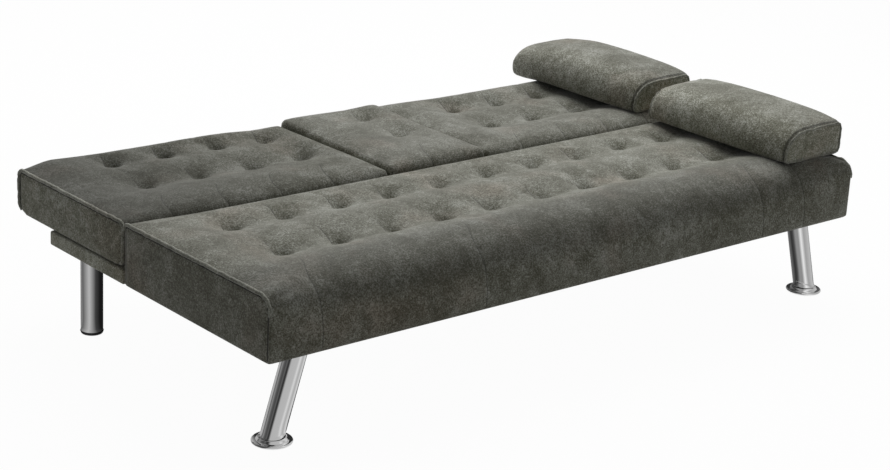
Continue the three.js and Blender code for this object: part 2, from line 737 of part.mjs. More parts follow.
function backPieces() {
  const right_columns = tuftColumns(right_section_tuft_column, section_tuft_count);
  const left_columns = tuftColumns(0, section_tuft_count);
  const spans = { right: [section_start, half_length], left: [-half_length, -section_start] };
  const hinge_slot_x = [hinge_x - pivot_pin_head - hinge_slot_side, arm_x];
  const hinge_slot_z = [back_underside - cut_overrun, pivot_z + hinge_slot_side];
  const board_z = [cross_board_top - cross_board_thickness, cross_board_top];
  const board_y = [cross_board_reach, cross_board_reach + cross_board_width];
  const padded = (low, high, gap) => [low - gap, high + gap];
  for (const side of ["right", "left"]) {
    const sign = side === "right" ? 1 : -1;
    const span = ([near, far]) => (sign > 0 ? [near, far] : [-far, -near]);
    const form = sectionForm(spans[side], side === "right" ? right_columns : left_columns);
    const slot = block(span(hinge_slot_x), [0, back_opening_front + cut_overrun], hinge_slot_z);
    const board_slot = block(
      span([section_start - cut_overrun, section_inner]),
      padded(...board_y, touch_gap),
      [back_underside - cut_overrun, cross_board_top + touch_gap],
    );
    const cover = cut(paddedForm(form), hollow(form, cover_wall, top_padding), slot, board_slot);
    piece(`back_${side}_cover`, cover, suede);
  }

  const inner_rail = [section_inner, section_inner + timber];
  const outer_rail = [outer_rail_x, inner_length];
  const between = [inner_rail[1] + touch_gap, hinge_x - pivot_pin_head - hinge_slot_side - touch_gap];
  const foam_z = [back_foam_underside, frame_top];
  pair((side) => `back_${side}_foam`, block(between, [back_inner_front, back_inner_rear], foam_z), foam);
  const panel_z = [panel_underside, back_foam_underside - touch_gap];
  const panel_y = [back_opening_front, back_opening_rear];
  pair((side) => `back_${side}_panel`, block(between, panel_y, panel_z), plywood);
  const low_z = [frame_underside, low_rail_top];
  const front_y = [back_opening_front, back_opening_front + timber];
  pair((side) => `back_${side}_front_rail`, block(between, front_y, low_z), pine);
  const rear_y = [back_opening_rear - timber, back_opening_rear];
  pair((side) => `back_${side}_rear_rail`, block(between, rear_y, low_z), pine);

  const pin_through = [outer_rail_x - cut_overrun, inner_length + cut_overrun];
  const pin_bore = rodAlongX(pivot_pin_radius + touch_gap, pin_through, pivot_reach, pivot_z);
  const outer = cut(plateAlongX(sideRailOutline(), outer_rail), pin_bore);
  pair((side) => `back_${side}_outer_rail`, outer, pine);
  const console_bore = consoleRod(console_pin_radius + touch_gap, padded(...inner_rail, cut_overrun));
  const inner = cut(plateAlongX(sideRailOutline(), inner_rail), console_bore);
  pair((side) => `back_${side}_inner_rail`, inner, pine);
  const board_x = section_inner - touch_gap;
  piece("back_cross_board", block([-board_x, board_x], board_y, board_z), plywood);

  const sheet_z = [back_underside, back_underside + dust_cover_thickness];
  const sheet = block([section_inner, inner_length], [back_opening_front, back_opening_rear], sheet_z);
  const stem_slot = block(
    [hinge_slot_x[0], arm_x],
    [back_opening_front - cut_overrun, pivot_reach + stem_offset + hinge_slot_side],
    padded(...sheet_z, cut_overrun),
  );
  pair((side) => `back_${side}_dust_cover`, cut(sheet, stem_slot), black_cloth);
}

// Console: a padded lid that folds down over the seat, with two cup wells in its underside
const console_underside = edge_top - console_thickness;
const console_form = {
  x: [-console_width / 2, console_width / 2],
  y: [fold_gap, back_reach],
  z: [console_underside, edge_top + console_rise],
  radii: {
    front: console_front_radius,
    rear: back_rear_radius,
    bottomFront: console_bottom_radius,
    bottomRear: back_rear_bottom_radius,
  },
  crown: console_crown,
  columns: tuftColumns(console_tuft_column, 1),
  rows: back_tuft_rows,
  depth: console_tuft_depth,
};

function consolePieces() {
  const pin_x = [console_width / 2 - console_wall - timber, console_width / 2 + console_wall + timber];
  const wall_bore = consoleRod(console_pin_radius + touch_gap, [-console_width, console_width]);
  const lid = cut(paddedForm(console_form), hollow(console_form, console_wall, console_padding), wall_bore);
  piece("console_cover", lid, suede);

  const inner_x = console_width / 2 - console_wall - touch_gap;
  const front = fold_gap + console_bottom_radius + touch_gap;
  const rear = back_reach - back_rear_bottom_radius - touch_gap;
  const board_top = console_underside + console_board_thickness;
  const cheek_z = [board_top + touch_gap, edge_top + console_rise - console_padding - touch_gap];
  const hole_z = [console_underside - cut_overrun, board_top + cut_overrun];
  const holes = [-cup_spread, cup_spread].map((x) => rodAlongZ(cup_radius + touch_gap, x, cup_reach, hole_z));
  const board = cut(block([-inner_x, inner_x], [front, rear], [console_underside, board_top]), ...holes);
  piece("console_board", board, plywood);
  const cheek_through = [inner_x - timber - cut_overrun, inner_x + cut_overrun];
  const cheek_bore = consoleRod(console_pin_radius + touch_gap, cheek_through);
  const cheek = cut(block([inner_x - timber, inner_x], [front, rear], cheek_z), cheek_bore);
  pair((side) => `console_${side}_cheek`, cheek, pine);

  const well_top = cup_depth + cup_wall;
  const well = revolve(
    [
      [0, cup_depth],
      [cup_radius - cup_wall - cup_floor_fillet, cup_depth],
      [cup_radius - cup_wall, cup_depth - cup_floor_fillet],
      [cup_radius - cup_wall, -cup_flange_thickness],
      [cup_radius + cup_flange_width, -cup_flange_thickness],
      [cup_radius + cup_flange_width, 0],
      [cup_radius, 0],
      [cup_radius, cup_depth - cup_floor_fillet],
      [cup_radius - cup_floor_fillet, well_top],
      [0, well_top],
    ],
    cup_spread,
    cup_reach,
    console_underside - touch_gap,
    tube_facets,
  );
  pair((side) => `console_${side}_cup_well`, well, black_plastic);
  pair((side) => `console_${side}_pin`, consoleRod(console_pin_radius, pin_x), zinc);
}

// Section bores of the console pins through the facing walls of the back covers
function boreBackCovers() {
  const across = section_inner + cut_overrun;
  const bore = consoleRod(console_pin_radius + touch_gap, [-across, across]);
  for (const side of ["right", "left"]) {
    const cover = group.getObjectByName(`back_${side}_cover`);
    cover.geometry = cut(cover.geometry, bore);
  }
}

// Loose cushions: a flat base, an upright outer side, a rounded inner side and a crown in the middle
function pillow(x0, y0) {
  const z0 = crown_top + pillow_seat_gap;
  const rings = pillow_ring_shares.map((share) => {
    const swell = Math.sin(Math.PI * share) ** pillow_swell_power;
    const height = pillow_end_height + pillow_crown * swell;
    const pulled = pillow_draw_in * (1 - ease(swell));
    const left = x0 + pulled;
    const right = x0 + pillow_width - pulled;
    const top = z0 + height;
    const inner = pillow_inner_radius + (pillow_crown - pillow_outer_radius / 2) * swell;
    const shoulder = [right - pillow_outer_radius, top - pillow_outer_radius - pillow_draw_in * swell];
    const section = [
      ...arc([left + pillow_base_radius, z0 + pillow_base_radius], pillow_base_radius, 180, 270, 2),
      ...arc([right - pillow_base_radius, z0 + pillow_base_radius], pillow_base_radius, 270, 360, 2),
      ...arc(shoulder, pillow_outer_radius, 0, pillow_shoulder, 2),
      [(left + inner + right) / 2, top],
      ...arc([left + inner, top - inner], inner, 90, 180, 5),
    ];
    return section.map(([x, z]) => [x, y0 + pillow_length * share, z]);
  });
  return loft(rings, ([x, , z]) => [x, z]);
}

function pillowPieces() {
  const pillow_x = half_length - pillow_from_end - pillow_width;
  piece("front_pillow", pillow(pillow_x, -front_pillow_before_fold - pillow_length), suede);
  piece("rear_pillow", pillow(pillow_x, rear_pillow_behind_fold), suede);
}

seatPieces();
basePieces();
legPieces();
hingePieces();
backPieces();
consolePieces();
boreBackCovers();
pillowPieces();

// The origin is under the middle of the whole outline, front edge to rear cushion
const rearmost = Math.max(rear_pillow_behind_fold + pillow_length, back_reach);
group.position.y = (seat_depth - rearmost) / 2;

export default group;
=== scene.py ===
# %% [markdown]
# # A click clack sofa bed
# A sofa bed, opened flat: a long tufted seat in front, a tufted back in two sections behind it with
# a narrow console between them, two loose cushions at one end and chrome tube legs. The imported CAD
# model gives every size and place, so this lesson starts by loading it as a fixed frame.

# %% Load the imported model
import json
import math

import bmesh
import bpy
import numpy as np
from mathutils import Matrix, Vector


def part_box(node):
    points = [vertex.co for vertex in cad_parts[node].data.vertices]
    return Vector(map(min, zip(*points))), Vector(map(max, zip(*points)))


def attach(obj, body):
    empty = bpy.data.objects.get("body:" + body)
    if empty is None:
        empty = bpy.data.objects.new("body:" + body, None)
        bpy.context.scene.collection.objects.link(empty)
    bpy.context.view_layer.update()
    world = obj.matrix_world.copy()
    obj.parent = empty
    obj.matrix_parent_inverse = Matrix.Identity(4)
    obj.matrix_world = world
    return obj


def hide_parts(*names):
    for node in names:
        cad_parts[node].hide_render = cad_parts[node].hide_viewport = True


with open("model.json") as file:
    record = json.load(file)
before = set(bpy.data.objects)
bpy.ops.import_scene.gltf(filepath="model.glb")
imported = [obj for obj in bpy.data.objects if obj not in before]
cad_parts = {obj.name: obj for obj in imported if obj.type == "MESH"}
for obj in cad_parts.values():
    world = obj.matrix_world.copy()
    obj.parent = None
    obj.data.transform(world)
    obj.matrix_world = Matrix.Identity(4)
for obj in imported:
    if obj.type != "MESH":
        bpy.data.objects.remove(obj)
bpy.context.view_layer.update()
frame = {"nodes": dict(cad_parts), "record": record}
nodes = frame["nodes"]
scene = bpy.context.scene

# %% [markdown]
# ## Sizes
# Blender works in metres, and a maker of sofas in millimetres, so small sizes are written as a
# number times mm. The tufts lie on one grid over the whole bed: the pitch and the rows are driving
# sizes, and everything else is read from the frame.

# %% Sizes that drive the soft pieces
mm = 0.001
skin_voxel = 8 * mm
tuft_pitch = 141 * mm
first_tuft_inset = 200 * mm
tuft_depth = 40 * mm
tuft_width = 40 * mm
piping_radius = 4.2 * mm

seat_low, seat_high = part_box("seat_cover")
fold_y = seat_high.y
first_tuft_x = seat_low.x + first_tuft_inset
tuft_x = [first_tuft_x + tuft_pitch * column for column in range(12)]
seat_rows = [fold_y - 291 * mm, fold_y - 107 * mm]
back_left_rows = [fold_y + 223 * mm, fold_y + 368 * mm]
back_right_rows = [fold_y + 200 * mm, fold_y + 340 * mm]
console_rows = [fold_y + 212 * mm, fold_y + 350 * mm]
seat_edge_top = seat_high.z - 10 * mm
print("fold line at y =", round(fold_y, 4), "tuft columns from", round(tuft_x[0], 3), "to", round(tuft_x[-1], 3))

# %% [markdown]
# ## Colour
# A colour picked from a picture is an sRGB value. Shaders work in linear light, so one function
# turns a hex value to linear numbers, and every colour below goes through it.

# %% One function for colours, one for shader nodes
def linear(hex_colour):
    channels = [int(hex_colour[i:i + 2], 16) / 255 for i in (0, 2, 4)]
    return [c / 12.92 if c <= 0.04045 else ((c + 0.055) / 1.055) ** 2.4 for c in channels] + [1.0]


def add_node(tree, kind, settings=None, **links):
    """Adds a node. Settings are its properties or its unlinked inputs, and links are its linked inputs."""
    node = tree.nodes.new(kind)
    for name, value in (settings or {}).items():
        if isinstance(name, int) or name in node.inputs:
            node.inputs[name].default_value = value
        else:
            setattr(node, name, value)
    for name, source in links.items():
        tree.links.new(source, node.inputs[name.replace("_", " ")])
    return node


def new_material(name):
    material = bpy.data.materials.new(name)
    material.use_nodes = True
    material.node_tree.nodes.clear()
    return material, material.node_tree


print("mid grey is", round(linear("808080")[0], 3), "in linear light")

# %% [markdown]
# ## Distressed faux suede
# The cover is polyester microfibre, brushed to a short nap and printed with a cloudy pattern so
# that it looks like worn nubuck. Three things give it away: clouds a hand wide, a fine mottle of a
# few millimetres where the nap lies in different directions, and almost no shine. A little sheen
# stands for the light that the nap catches at a grazing angle. Seams and pinched folds are finer
# than the mesh, so each soft piece stores two numbers at its points: how far the nearest crease is,
# in millimetres, and how strongly that crease shows. From them the material paints a dark line of
# shade in seams and folds, and a painted shadow under the piping. A third number paints light and
# shade into the colour: it makes a panel, or the faces turned one way, paler or darker than their
# neighbours, standing in for how the lamps light them.

# %% Suede
def suede_material(name, dark, middle, light, warm, rub, sheen=0.4):
    material, tree = new_material(name)
    place = add_node(tree, "ShaderNodeTexCoord").outputs["Object"]
    # clouds of about 80 mm from the print
    clouds = add_node(tree, "ShaderNodeTexNoise",
                      {"Scale": 1 / (80 * mm), "Detail": 4.0, "Roughness": 0.6, "Distortion": 0.6}, Vector=place)
    # nap marks of about 14 mm, where a hand has brushed the pile
    marks = add_node(tree, "ShaderNodeTexNoise",
                     {"Scale": 1 / (14 * mm), "Detail": 6.0, "Roughness": 0.7, "Distortion": 1.2}, Vector=place)
    # the pile is finer than 0.5 mm, drawn 3 mm wide so that it shows at this distance
    pile = add_node(tree, "ShaderNodeTexNoise", {"Scale": 1 / (3.4 * mm), "Detail": 3.0, "Roughness": 0.75}, Vector=place)
    broad = add_node(tree, "ShaderNodeMix", {"data_type": "FLOAT", "Factor": 0.5},
                     A=clouds.outputs["Fac"], B=marks.outputs["Fac"])
    tone = add_node(tree, "ShaderNodeMix", {"data_type": "FLOAT", "Factor": 0.5},
                    A=broad.outputs["Result"], B=pile.outputs["Fac"])
    ramp = add_node(tree, "ShaderNodeValToRGB", Fac=tone.outputs["Result"])
    steps = ramp.color_ramp.elements
    steps[0].position, steps[0].color = 0.405, linear(dark)
    steps[1].position, steps[1].color = 0.595, linear(light)
    steps.new(0.5).color = linear(middle)
    # patches 160 mm wide where the print turns slightly brown
    patches = add_node(tree, "ShaderNodeTexNoise", {"Scale": 1 / (160 * mm), "Detail": 3.0}, Vector=place)
    brown = add_node(tree, "ShaderNodeMapRange", {"From Min": 0.52, "From Max": 0.72, "To Max": 0.5},
                     Value=patches.outputs["Fac"])
    tinted = add_node(tree, "ShaderNodeMix", {"data_type": "RGBA", "blend_type": "MULTIPLY"})
    tinted.inputs[7].default_value = linear(warm)
    tree.links.new(brown.outputs["Result"], tinted.inputs[0])
    tree.links.new(ramp.outputs["Color"], tinted.inputs[6])
    # painted shade: a crease is a dark line about 1.6 mm wide, the shade in a seam or fold, or the shadow under the
    # piping
    away = add_node(tree, "ShaderNodeAttribute", {"attribute_name": "crease_mm"})
    shows = add_node(tree, "ShaderNodeAttribute", {"attribute_name": "crease_shows"})
    distance = add_node(tree, "ShaderNodeMath", {"operation": "ABSOLUTE"})
    tree.links.new(away.outputs["Fac"], distance.inputs[0])
    line = add_node(tree, "ShaderNodeMapRange",
                    {"interpolation_type": "SMOOTHSTEP", "From Min": 0.5, "From Max": 2.2, "To Min": 1.0, "To Max": 0.0},
                    Value=distance.outputs["Value"])
    crease = add_node(tree, "ShaderNodeMath", {"operation": "MULTIPLY"})
    tree.links.new(line.outputs["Result"], crease.inputs[0])
    tree.links.new(shows.outputs["Fac"], crease.inputs[1])
    shaded = add_node(tree, "ShaderNodeMix", {"data_type": "RGBA"})
    shaded.inputs[7].default_value = linear("1a1915")
    tree.links.new(crease.outputs["Value"], shaded.inputs[0])
    tree.links.new(tinted.outputs[2], shaded.inputs[6])
    # painted light and shade: a number stored at the points makes the colour paler or darker, 0 where the fabric is as
    # printed
    painted_light_and_shade = add_node(tree, "ShaderNodeAttribute", {"attribute_name": "painted_light_and_shade"})
    level = add_node(tree, "ShaderNodeMath", {"operation": "ADD", 1: 1.0}, Value=painted_light_and_shade.outputs["Fac"])
    colour_with_painted_light = add_node(tree, "ShaderNodeVectorMath", {"operation": "SCALE"})
    tree.links.new(shaded.outputs[2], colour_with_painted_light.inputs[0])
    tree.links.new(level.outputs["Value"], colour_with_painted_light.inputs["Scale"])
    height = add_node(tree, "ShaderNodeMix", {"data_type": "FLOAT", "Factor": 0.5},
                      A=marks.outputs["Fac"], B=pile.outputs["Fac"])
    bump = add_node(tree, "ShaderNodeBump", {"Strength": rub, "Distance": 1.2 * mm}, Height=height.outputs["Result"])
    shader = add_node(tree, "ShaderNodeBsdfPrincipled",
                      {"Roughness": 0.92, "Specular IOR Level": 0.25, "Sheen Weight": sheen, "Sheen Roughness": 0.45,
                       "Sheen Tint": linear("e6e6e4")}, Normal=bump.outputs["Normal"])
    tree.links.new(colour_with_painted_light.outputs["Vector"], shader.inputs["Base Color"])
    add_node(tree, "ShaderNodeOutputMaterial", Surface=shader.outputs["BSDF"])
    return material


suede = suede_material("distressed_faux_suede", "3e3d2f", "66665a", "9a9b93", "d6bda8", 0.4)
# a copy of the suede with less sheen paints shade on the left section of the back, where less light falls
shaded_copy_suede = suede_material("distressed_faux_suede_shaded_copy", "3e3d2f", "66665a", "9a9b93", "d6bda8", 0.4, 0.22)
piping_suede = suede_material("distressed_faux_suede_piping", "5a5b50", "7d7e74", "a2a398", "d9c3b2", 0.25)
print("suede made")

# %% [markdown]
# ## Hard finishes
# Chrome plate on drawn steel tube is nearly a mirror, with fine polishing marks along the tube.
# Zinc plate is greyer and duller. Sawn pine shows straight grain, plywood a wilder face grain.
# The dust cloth under a sofa is black spunbond, and the feet and bumpers are moulded rubber.

# %% Chrome, zinc, rubber and moulded plastic
def metal_material(name, colour, roughness, marks_mm, depth_mm):
    material, tree = new_material(name)
    place = add_node(tree, "ShaderNodeTexCoord").outputs["Object"]
    grain = add_node(tree, "ShaderNodeTexNoise", {"Scale": 1 / (marks_mm * mm), "Detail": 3.0}, Vector=place)
    rough = add_node(tree, "ShaderNodeMapRange",
                     {"To Min": roughness * 0.7, "To Max": roughness * 1.4}, Value=grain.outputs["Fac"])
    bump = add_node(tree, "ShaderNodeBump", {"Strength": 0.1, "Distance": depth_mm * mm}, Height=grain.outputs["Fac"])
    shader = add_node(tree, "ShaderNodeBsdfPrincipled", {"Base Color": linear(colour), "Metallic": 1.0},
                      Roughness=rough.outputs["Result"], Normal=bump.outputs["Normal"])
    add_node(tree, "ShaderNodeOutputMaterial", Surface=shader.outputs["BSDF"])
    return material


def moulded_material(name, colour, roughness, grain_mm, strength):
    material, tree = new_material(name)
    place = add_node(tree, "ShaderNodeTexCoord").outputs["Object"]
    grain = add_node(tree, "ShaderNodeTexNoise", {"Scale": 1 / (grain_mm * mm), "Detail": 2.0}, Vector=place)
    bump = add_node(tree, "ShaderNodeBump", {"Strength": strength, "Distance": 0.3 * mm}, Height=grain.outputs["Fac"])
    rough = add_node(tree, "ShaderNodeMapRange",
                     {"To Min": roughness * 0.85, "To Max": roughness * 1.1}, Value=grain.outputs["Fac"])
    shader = add_node(tree, "ShaderNodeBsdfPrincipled", {"Base Color": linear(colour)},
                      Roughness=rough.outputs["Result"], Normal=bump.outputs["Normal"])
    add_node(tree, "ShaderNodeOutputMaterial", Surface=shader.outputs["BSDF"])
    return material


chrome = metal_material("chrome_plated_steel", "eaeaea", 0.08, 40, 0.05)
zinc = metal_material("zinc_plated_steel", "a4a9ad", 0.34, 1.5, 0.1)
rubber = moulded_material("moulded_rubber", "1b1b1b", 0.8, 1.2, 0.2)
plastic = moulded_material("moulded_black_plastic", "1f1f21", 0.42, 0.8, 0.15)

# %% Wood, foam and dust cloth
def timber_material(name, dark, light, grain_mm, stretch, roughness):
    """Grain is a noise squeezed across the board, so that its marks run long along X."""
    material, tree = new_material(name)
    place = add_node(tree, "ShaderNodeTexCoord").outputs["Object"]
    along = add_node(tree, "ShaderNodeMapping", Vector=place)
    along.inputs["Scale"].default_value = (1 / stretch, 1.0, 1.0)
    grain = add_node(tree, "ShaderNodeTexNoise", {"Scale": 1 / (grain_mm * mm), "Detail": 5.0, "Distortion": 0.4},
                     Vector=along.outputs["Vector"])
    ramp = add_node(tree, "ShaderNodeValToRGB", Fac=grain.outputs["Fac"])
    steps = ramp.color_ramp.elements
    steps[0].position, steps[0].color = 0.38, linear(dark)
    steps[1].position, steps[1].color = 0.62, linear(light)
    bump = add_node(tree, "ShaderNodeBump", {"Strength": 0.2, "Distance": 0.4 * mm}, Height=grain.outputs["Fac"])
    shader = add_node(tree, "ShaderNodeBsdfPrincipled", {"Roughness": roughness}, Normal=bump.outputs["Normal"])
    tree.links.new(ramp.outputs["Color"], shader.inputs["Base Color"])
    add_node(tree, "ShaderNodeOutputMaterial", Surface=shader.outputs["BSDF"])
    return material


def fleece_material(name, dark, light, fibre_mm, depth_mm):
    material, tree = new_material(name)
    place = add_node(tree, "ShaderNodeTexCoord").outputs["Object"]
    cells = add_node(tree, "ShaderNodeTexVoronoi", {"Scale": 1 / (fibre_mm * mm)}, Vector=place)
    ramp = add_node(tree, "ShaderNodeValToRGB", Fac=cells.outputs["Distance"])
    steps = ramp.color_ramp.elements
    steps[0].position, steps[0].color = 0.1, linear(dark)
    steps[1].position, steps[1].color = 0.7, linear(light)
    bump = add_node(tree, "ShaderNodeBump", {"Strength": 0.5, "Distance": depth_mm * mm}, Height=cells.outputs["Distance"])
    shader = add_node(tree, "ShaderNodeBsdfPrincipled", {"Roughness": 0.95}, Normal=bump.outputs["Normal"])
    tree.links.new(ramp.outputs["Color"], shader.inputs["Base Color"])
    add_node(tree, "ShaderNodeOutputMaterial", Surface=shader.outputs["BSDF"])
    return material


pine = timber_material("sawn_pine", "b98f58", "d6b57d", 9, 14, 0.65)
plywood = timber_material("sanded_plywood", "a47a4a", "c79f6d", 16, 5, 0.6)
foam = fleece_material("polyurethane_foam", "cdbf86", "efe6bd", 2.5, 0.8)
dust_cloth = fleece_material("spunbond_dust_cloth", "0f0f10", "1e1e20", 2.0, 0.3)

finish_of_slot = {"suede": suede, "foam": foam, "pine": pine, "plywood": plywood, "dust_cloth": dust_cloth,
                  "chrome": chrome, "zinc_steel": zinc, "rubber": rubber, "black_plastic": plastic}
for part in frame["record"]["subparts"]:
    mesh = nodes[part["node"]].data
    mesh.materials.clear()
    mesh.materials.append(finish_of_slot[part["material_slot"]])

# %% [markdown]
# ## Helpers for meshes
# Most pieces start as a bmesh, are shaped by its operators and become an object at the origin with
# their place in the mesh, as the frame's own nodes are. Soft pieces are then moved point by point
# with numpy, which is quick on a mesh of many thousand points.

# %% From bmesh to object, and points in and out
def piece_from(bm, name, material, body, stands_for=(), smooth=True):
    mesh = bpy.data.meshes.new(name)
    bm.to_mesh(mesh)
    bm.free()
    mesh.materials.append(material)
    piece = bpy.data.objects.new(name, mesh)
    scene.collection.objects.link(piece)
    mesh.polygons.foreach_set("use_smooth", [smooth] * len(mesh.polygons))
    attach(piece, body)
    if stands_for:
        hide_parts(*stands_for)
    return piece


def points_of(piece):
    flat = np.empty(len(piece.data.vertices) * 3)
    piece.data.vertices.foreach_get("co", flat)
    return flat.reshape(-1, 3)


def move_points(piece, points):
    piece.data.vertices.foreach_set("co", points.ravel())
    piece.data.update()


def store(piece, name, values):
    """Keeps one number at each point, for the material to read."""
    layer = piece.data.attributes.get(name) or piece.data.attributes.new(name, "FLOAT", "POINT")
    layer.data.foreach_set("value", np.broadcast_to(values, len(piece.data.vertices)).astype(float))


def normals_of(piece):
    flat = np.empty(len(piece.data.vertices) * 3)
    piece.data.vertex_normals.foreach_get("vector", flat)
    return flat.reshape(-1, 3)


def apply_modifiers(piece):
    ready = piece.evaluated_get(bpy.context.evaluated_depsgraph_get())
    mesh = bpy.data.meshes.new_from_object(ready)
    piece.modifiers.clear()
    piece.data = mesh
    mesh.polygons.foreach_set("use_smooth", [True] * len(mesh.polygons))


def ease(share):
    t = np.clip(share, 0.0, 1.0)
    return t * t * (3 - 2 * t)


# %% [markdown]
# ## Piping
# Piping is a thin cord in a strip of the same fabric, sewn into the seam round an end panel. It
# could be extruded with the panel, but a curve with a round bevel, turned into a mesh at once, is
# simpler. Its path is the outline of the flat end of the block, so it always fits the panel.

# %% The rim of a flat end, and a cord along it
chance = np.random.default_rng(11)
tuck = 2.2 * mm


def rim_of(bm, axis, place):
    """The outline of the flat end at a place along an axis, point after point."""
    flat = {f for f in bm.faces if all(abs(v.co[axis] - place) < 0.2 * mm for v in f.verts)}
    border = [e for f in flat for e in f.edges if sum(g in flat for g in e.link_faces) == 1]
    vert = min((v for e in border for v in e.verts), key=lambda v: (round(v.co.z, 5), round(v.co.x + v.co.y, 5)))
    first, path, used = vert, [], set()
    while vert is not first or not path:
        path.append(vert.co.copy())
        edge = next(e for e in border if vert in e.verts and e not in used)
        used.add(edge)
        vert = edge.other_vert(vert)
    return path


def along(path, closed, step=9 * mm, stray=0.5 * mm):
    """The same path with a point every few millimetres, each a little off the line, as hand sewing leaves it."""
    points = []
    for start, stop in zip(path, path[1:] + path[:1] * closed):
        parts = max(1, round((stop - start).length / step))
        for i in range(parts):
            points.append(start.lerp(stop, i / parts) + Vector(chance.normal(0, stray, 3)))
    return points + path[-1:] * (not closed)


def tuck_in(path, low, high, by=tuck):
    """Moves a path a little toward the middle of its piece, so that half of the cord sinks into the cover."""
    middle, half = (low + high) / 2, (high - low) / 2
    for point in path:
        for axis in range(3):
            point[axis] += by * (middle[axis] - point[axis]) / half[axis]


def piping(name, path, body, closed, radius=piping_radius):
    path = along(path, closed)
    curve = bpy.data.curves.new(name, "CURVE")
    curve.dimensions = "3D"
    curve.bevel_depth = radius
    curve.bevel_resolution = 2
    curve.use_fill_caps = not closed
    spline = curve.splines.new("POLY")
    spline.points.add(len(path) - 1)
    spline.points.foreach_set("co", [c for point in path for c in (*point, 1.0)])
    spline.use_cyclic_u = closed
    holder = bpy.data.objects.new(name, curve)
    scene.collection.objects.link(holder)
    ready = holder.evaluated_get(bpy.context.evaluated_depsgraph_get())
    bm = bmesh.new()
    bm.from_mesh(ready.to_mesh())
    bpy.data.objects.remove(holder)
    return piece_from(bm, name, piping_suede, body)


print("piping radius", round(piping_radius / mm, 1), "mm")

# %% [markdown]
# ## A padded block
# The seat and the back sections are foam on a timber frame with a sewn cover: two flat boards of
# fabric at the ends, and one long strip that wraps over the front, the top and the rear. So the
# block is a cube with its four long edges rounded by their own radii and its ends left crisp for
# the piping. A voxel remesh then gives it an even skin of small squares, which cloth needs.

# %% Rounded block with an even skin
def rounded_block(low, high, front, rear, under_front, under_rear):
    bm = bmesh.new()
    bmesh.ops.create_cube(bm, size=1.0)
    bmesh.ops.scale(bm, vec=high - low, verts=bm.verts)
    bmesh.ops.translate(bm, vec=(low + high) / 2, verts=bm.verts)
    corners = [(low.y, high.z, front), (high.y, high.z, rear), (low.y, low.z, under_front), (high.y, low.z, under_rear)]
    for y, z, radius in corners:
        edge = [e for e in bm.edges if all(abs(v.co.y - y) < mm and abs(v.co.z - z) < mm for v in e.verts)]
        bmesh.ops.bevel(bm, geom=edge, offset=radius, offset_type="OFFSET", affect="EDGES", segments=8, profile=0.5,
                        material=-1)
    return bm


def pipe_ends(bm, name, low, high, body, ends):
    """Piping over the ends of a block, from its underside up the front, over the top and down the rear."""
    for end, place in ends:
        rim = rim_of(bm, 0, place)
        open_rim = [p for p in rim if p.z > low.z + 5 * mm]
        step = max(range(len(open_rim)), key=lambda i: (open_rim[i] - open_rim[i - 1]).length_squared
                   if min(open_rim[i].z, open_rim[i - 1].z) < low.z + 30 * mm else 0)
        path = open_rim[step:] + open_rim[:step]
        inward = 1 if place < (low.x + high.x) / 2 else -1
        tuck_in(path, low, high)
        for last in (0, -1):
            tucked = path[last] + Vector((inward * 7 * mm, 0, 3 * mm))
            path.insert(0, tucked) if last == 0 else path.append(tucked)
        piping(f"{name}_{end}_piping", path, body, closed=False)


def even_skin(piece, voxel):
    remesh = piece.modifiers.new("even skin", "REMESH")
    remesh.mode = "VOXEL"
    remesh.voxel_size = voxel
    apply_modifiers(piece)
    print(piece.name, "has a skin of", len(piece.data.vertices), "points")


# %% [markdown]
# ## Tufts and stuffing
# A tuft is a stitch that pulls the cover down to the deck. Around it the fabric falls in a soft
# crater, and between the tufts the foam pushes it up again. The crater is sculpted first, steeper
# on the side of the front edge, where the cover is stretched over the rounded border. Then the
# cover becomes cloth under a little pressure, held at the stitches, at the underside and along the
# piped ends, so that it swells between them as real upholstery does. How far a point may move is
# capped, because a long simulation would blow the pad up like a balloon.

# %% Sculpt the craters and the crown
def tuft_places(columns, rows):
    places = []
    for x in columns:
        for y in rows:
            stray = chance.normal(0, 2.0 * mm, 2)
            places.append((x + stray[0], y + stray[1], chance.uniform(0.85, 1.1)))
    return places


def crater(points, tufts, depth, width, from_ends):
    """A narrow pit in a soft crater, and a broad sag that lowers the whole tufted area below its borders."""
    drop, sag = np.zeros(len(points)), np.zeros(len(points))
    for x, y, strength in tufts:
        dx, dy = points[:, 0] - x, points[:, 1] - y
        reach = width * np.where(dy < 0, 0.52, 1.12)
        away = np.hypot(dx / width, dy / reach)
        drop += depth * strength * (0.42 / (1 + away ** 2) ** 2 + 0.26 * np.exp(-(away / 0.34) ** 2))
        sag += 0.4 * depth * np.exp(-(np.hypot(dx, dy) / (85 * mm)) ** 2)
    return np.minimum(drop, depth * 0.75) + np.minimum(sag, depth * 0.4) * ease(from_ends / (80 * mm))


def sculpt_top(piece, low, high, crown, tufts, depth, front_run=45 * mm, front_fall=0.0):
    """front_run is how far behind the front edge the crown is full, and front_fall rounds the border before the tufts."""
    points = points_of(piece)
    upper = ease((points[:, 2] - (high.z - 50 * mm)) / (35 * mm))
    from_ends = np.minimum(points[:, 0] - low.x, high.x - points[:, 0])
    from_front, from_rear = points[:, 1] - low.y, high.y - points[:, 1]
    lift = crown * ease((from_ends - 6 * mm) / (26 * mm)) * ease(from_front / front_run) * ease(from_rear / (45 * mm))
    forward = 0.93 * np.clip(1 - from_front / (150 * mm), 0, 1)
    rolled = front_fall * (1 - np.sqrt(1 - forward ** 2)) * ease(from_ends / (200 * mm))
    points[:, 2] -= rolled * ease((points[:, 2] - (high.z - 110 * mm)) / (100 * mm))
    border = ease((from_rear + 4 * mm) / (46 * mm))
    points[:, 2] += upper * (lift - border * crater(points, tufts, depth, tuft_width, from_ends))
    move_points(piece, points)


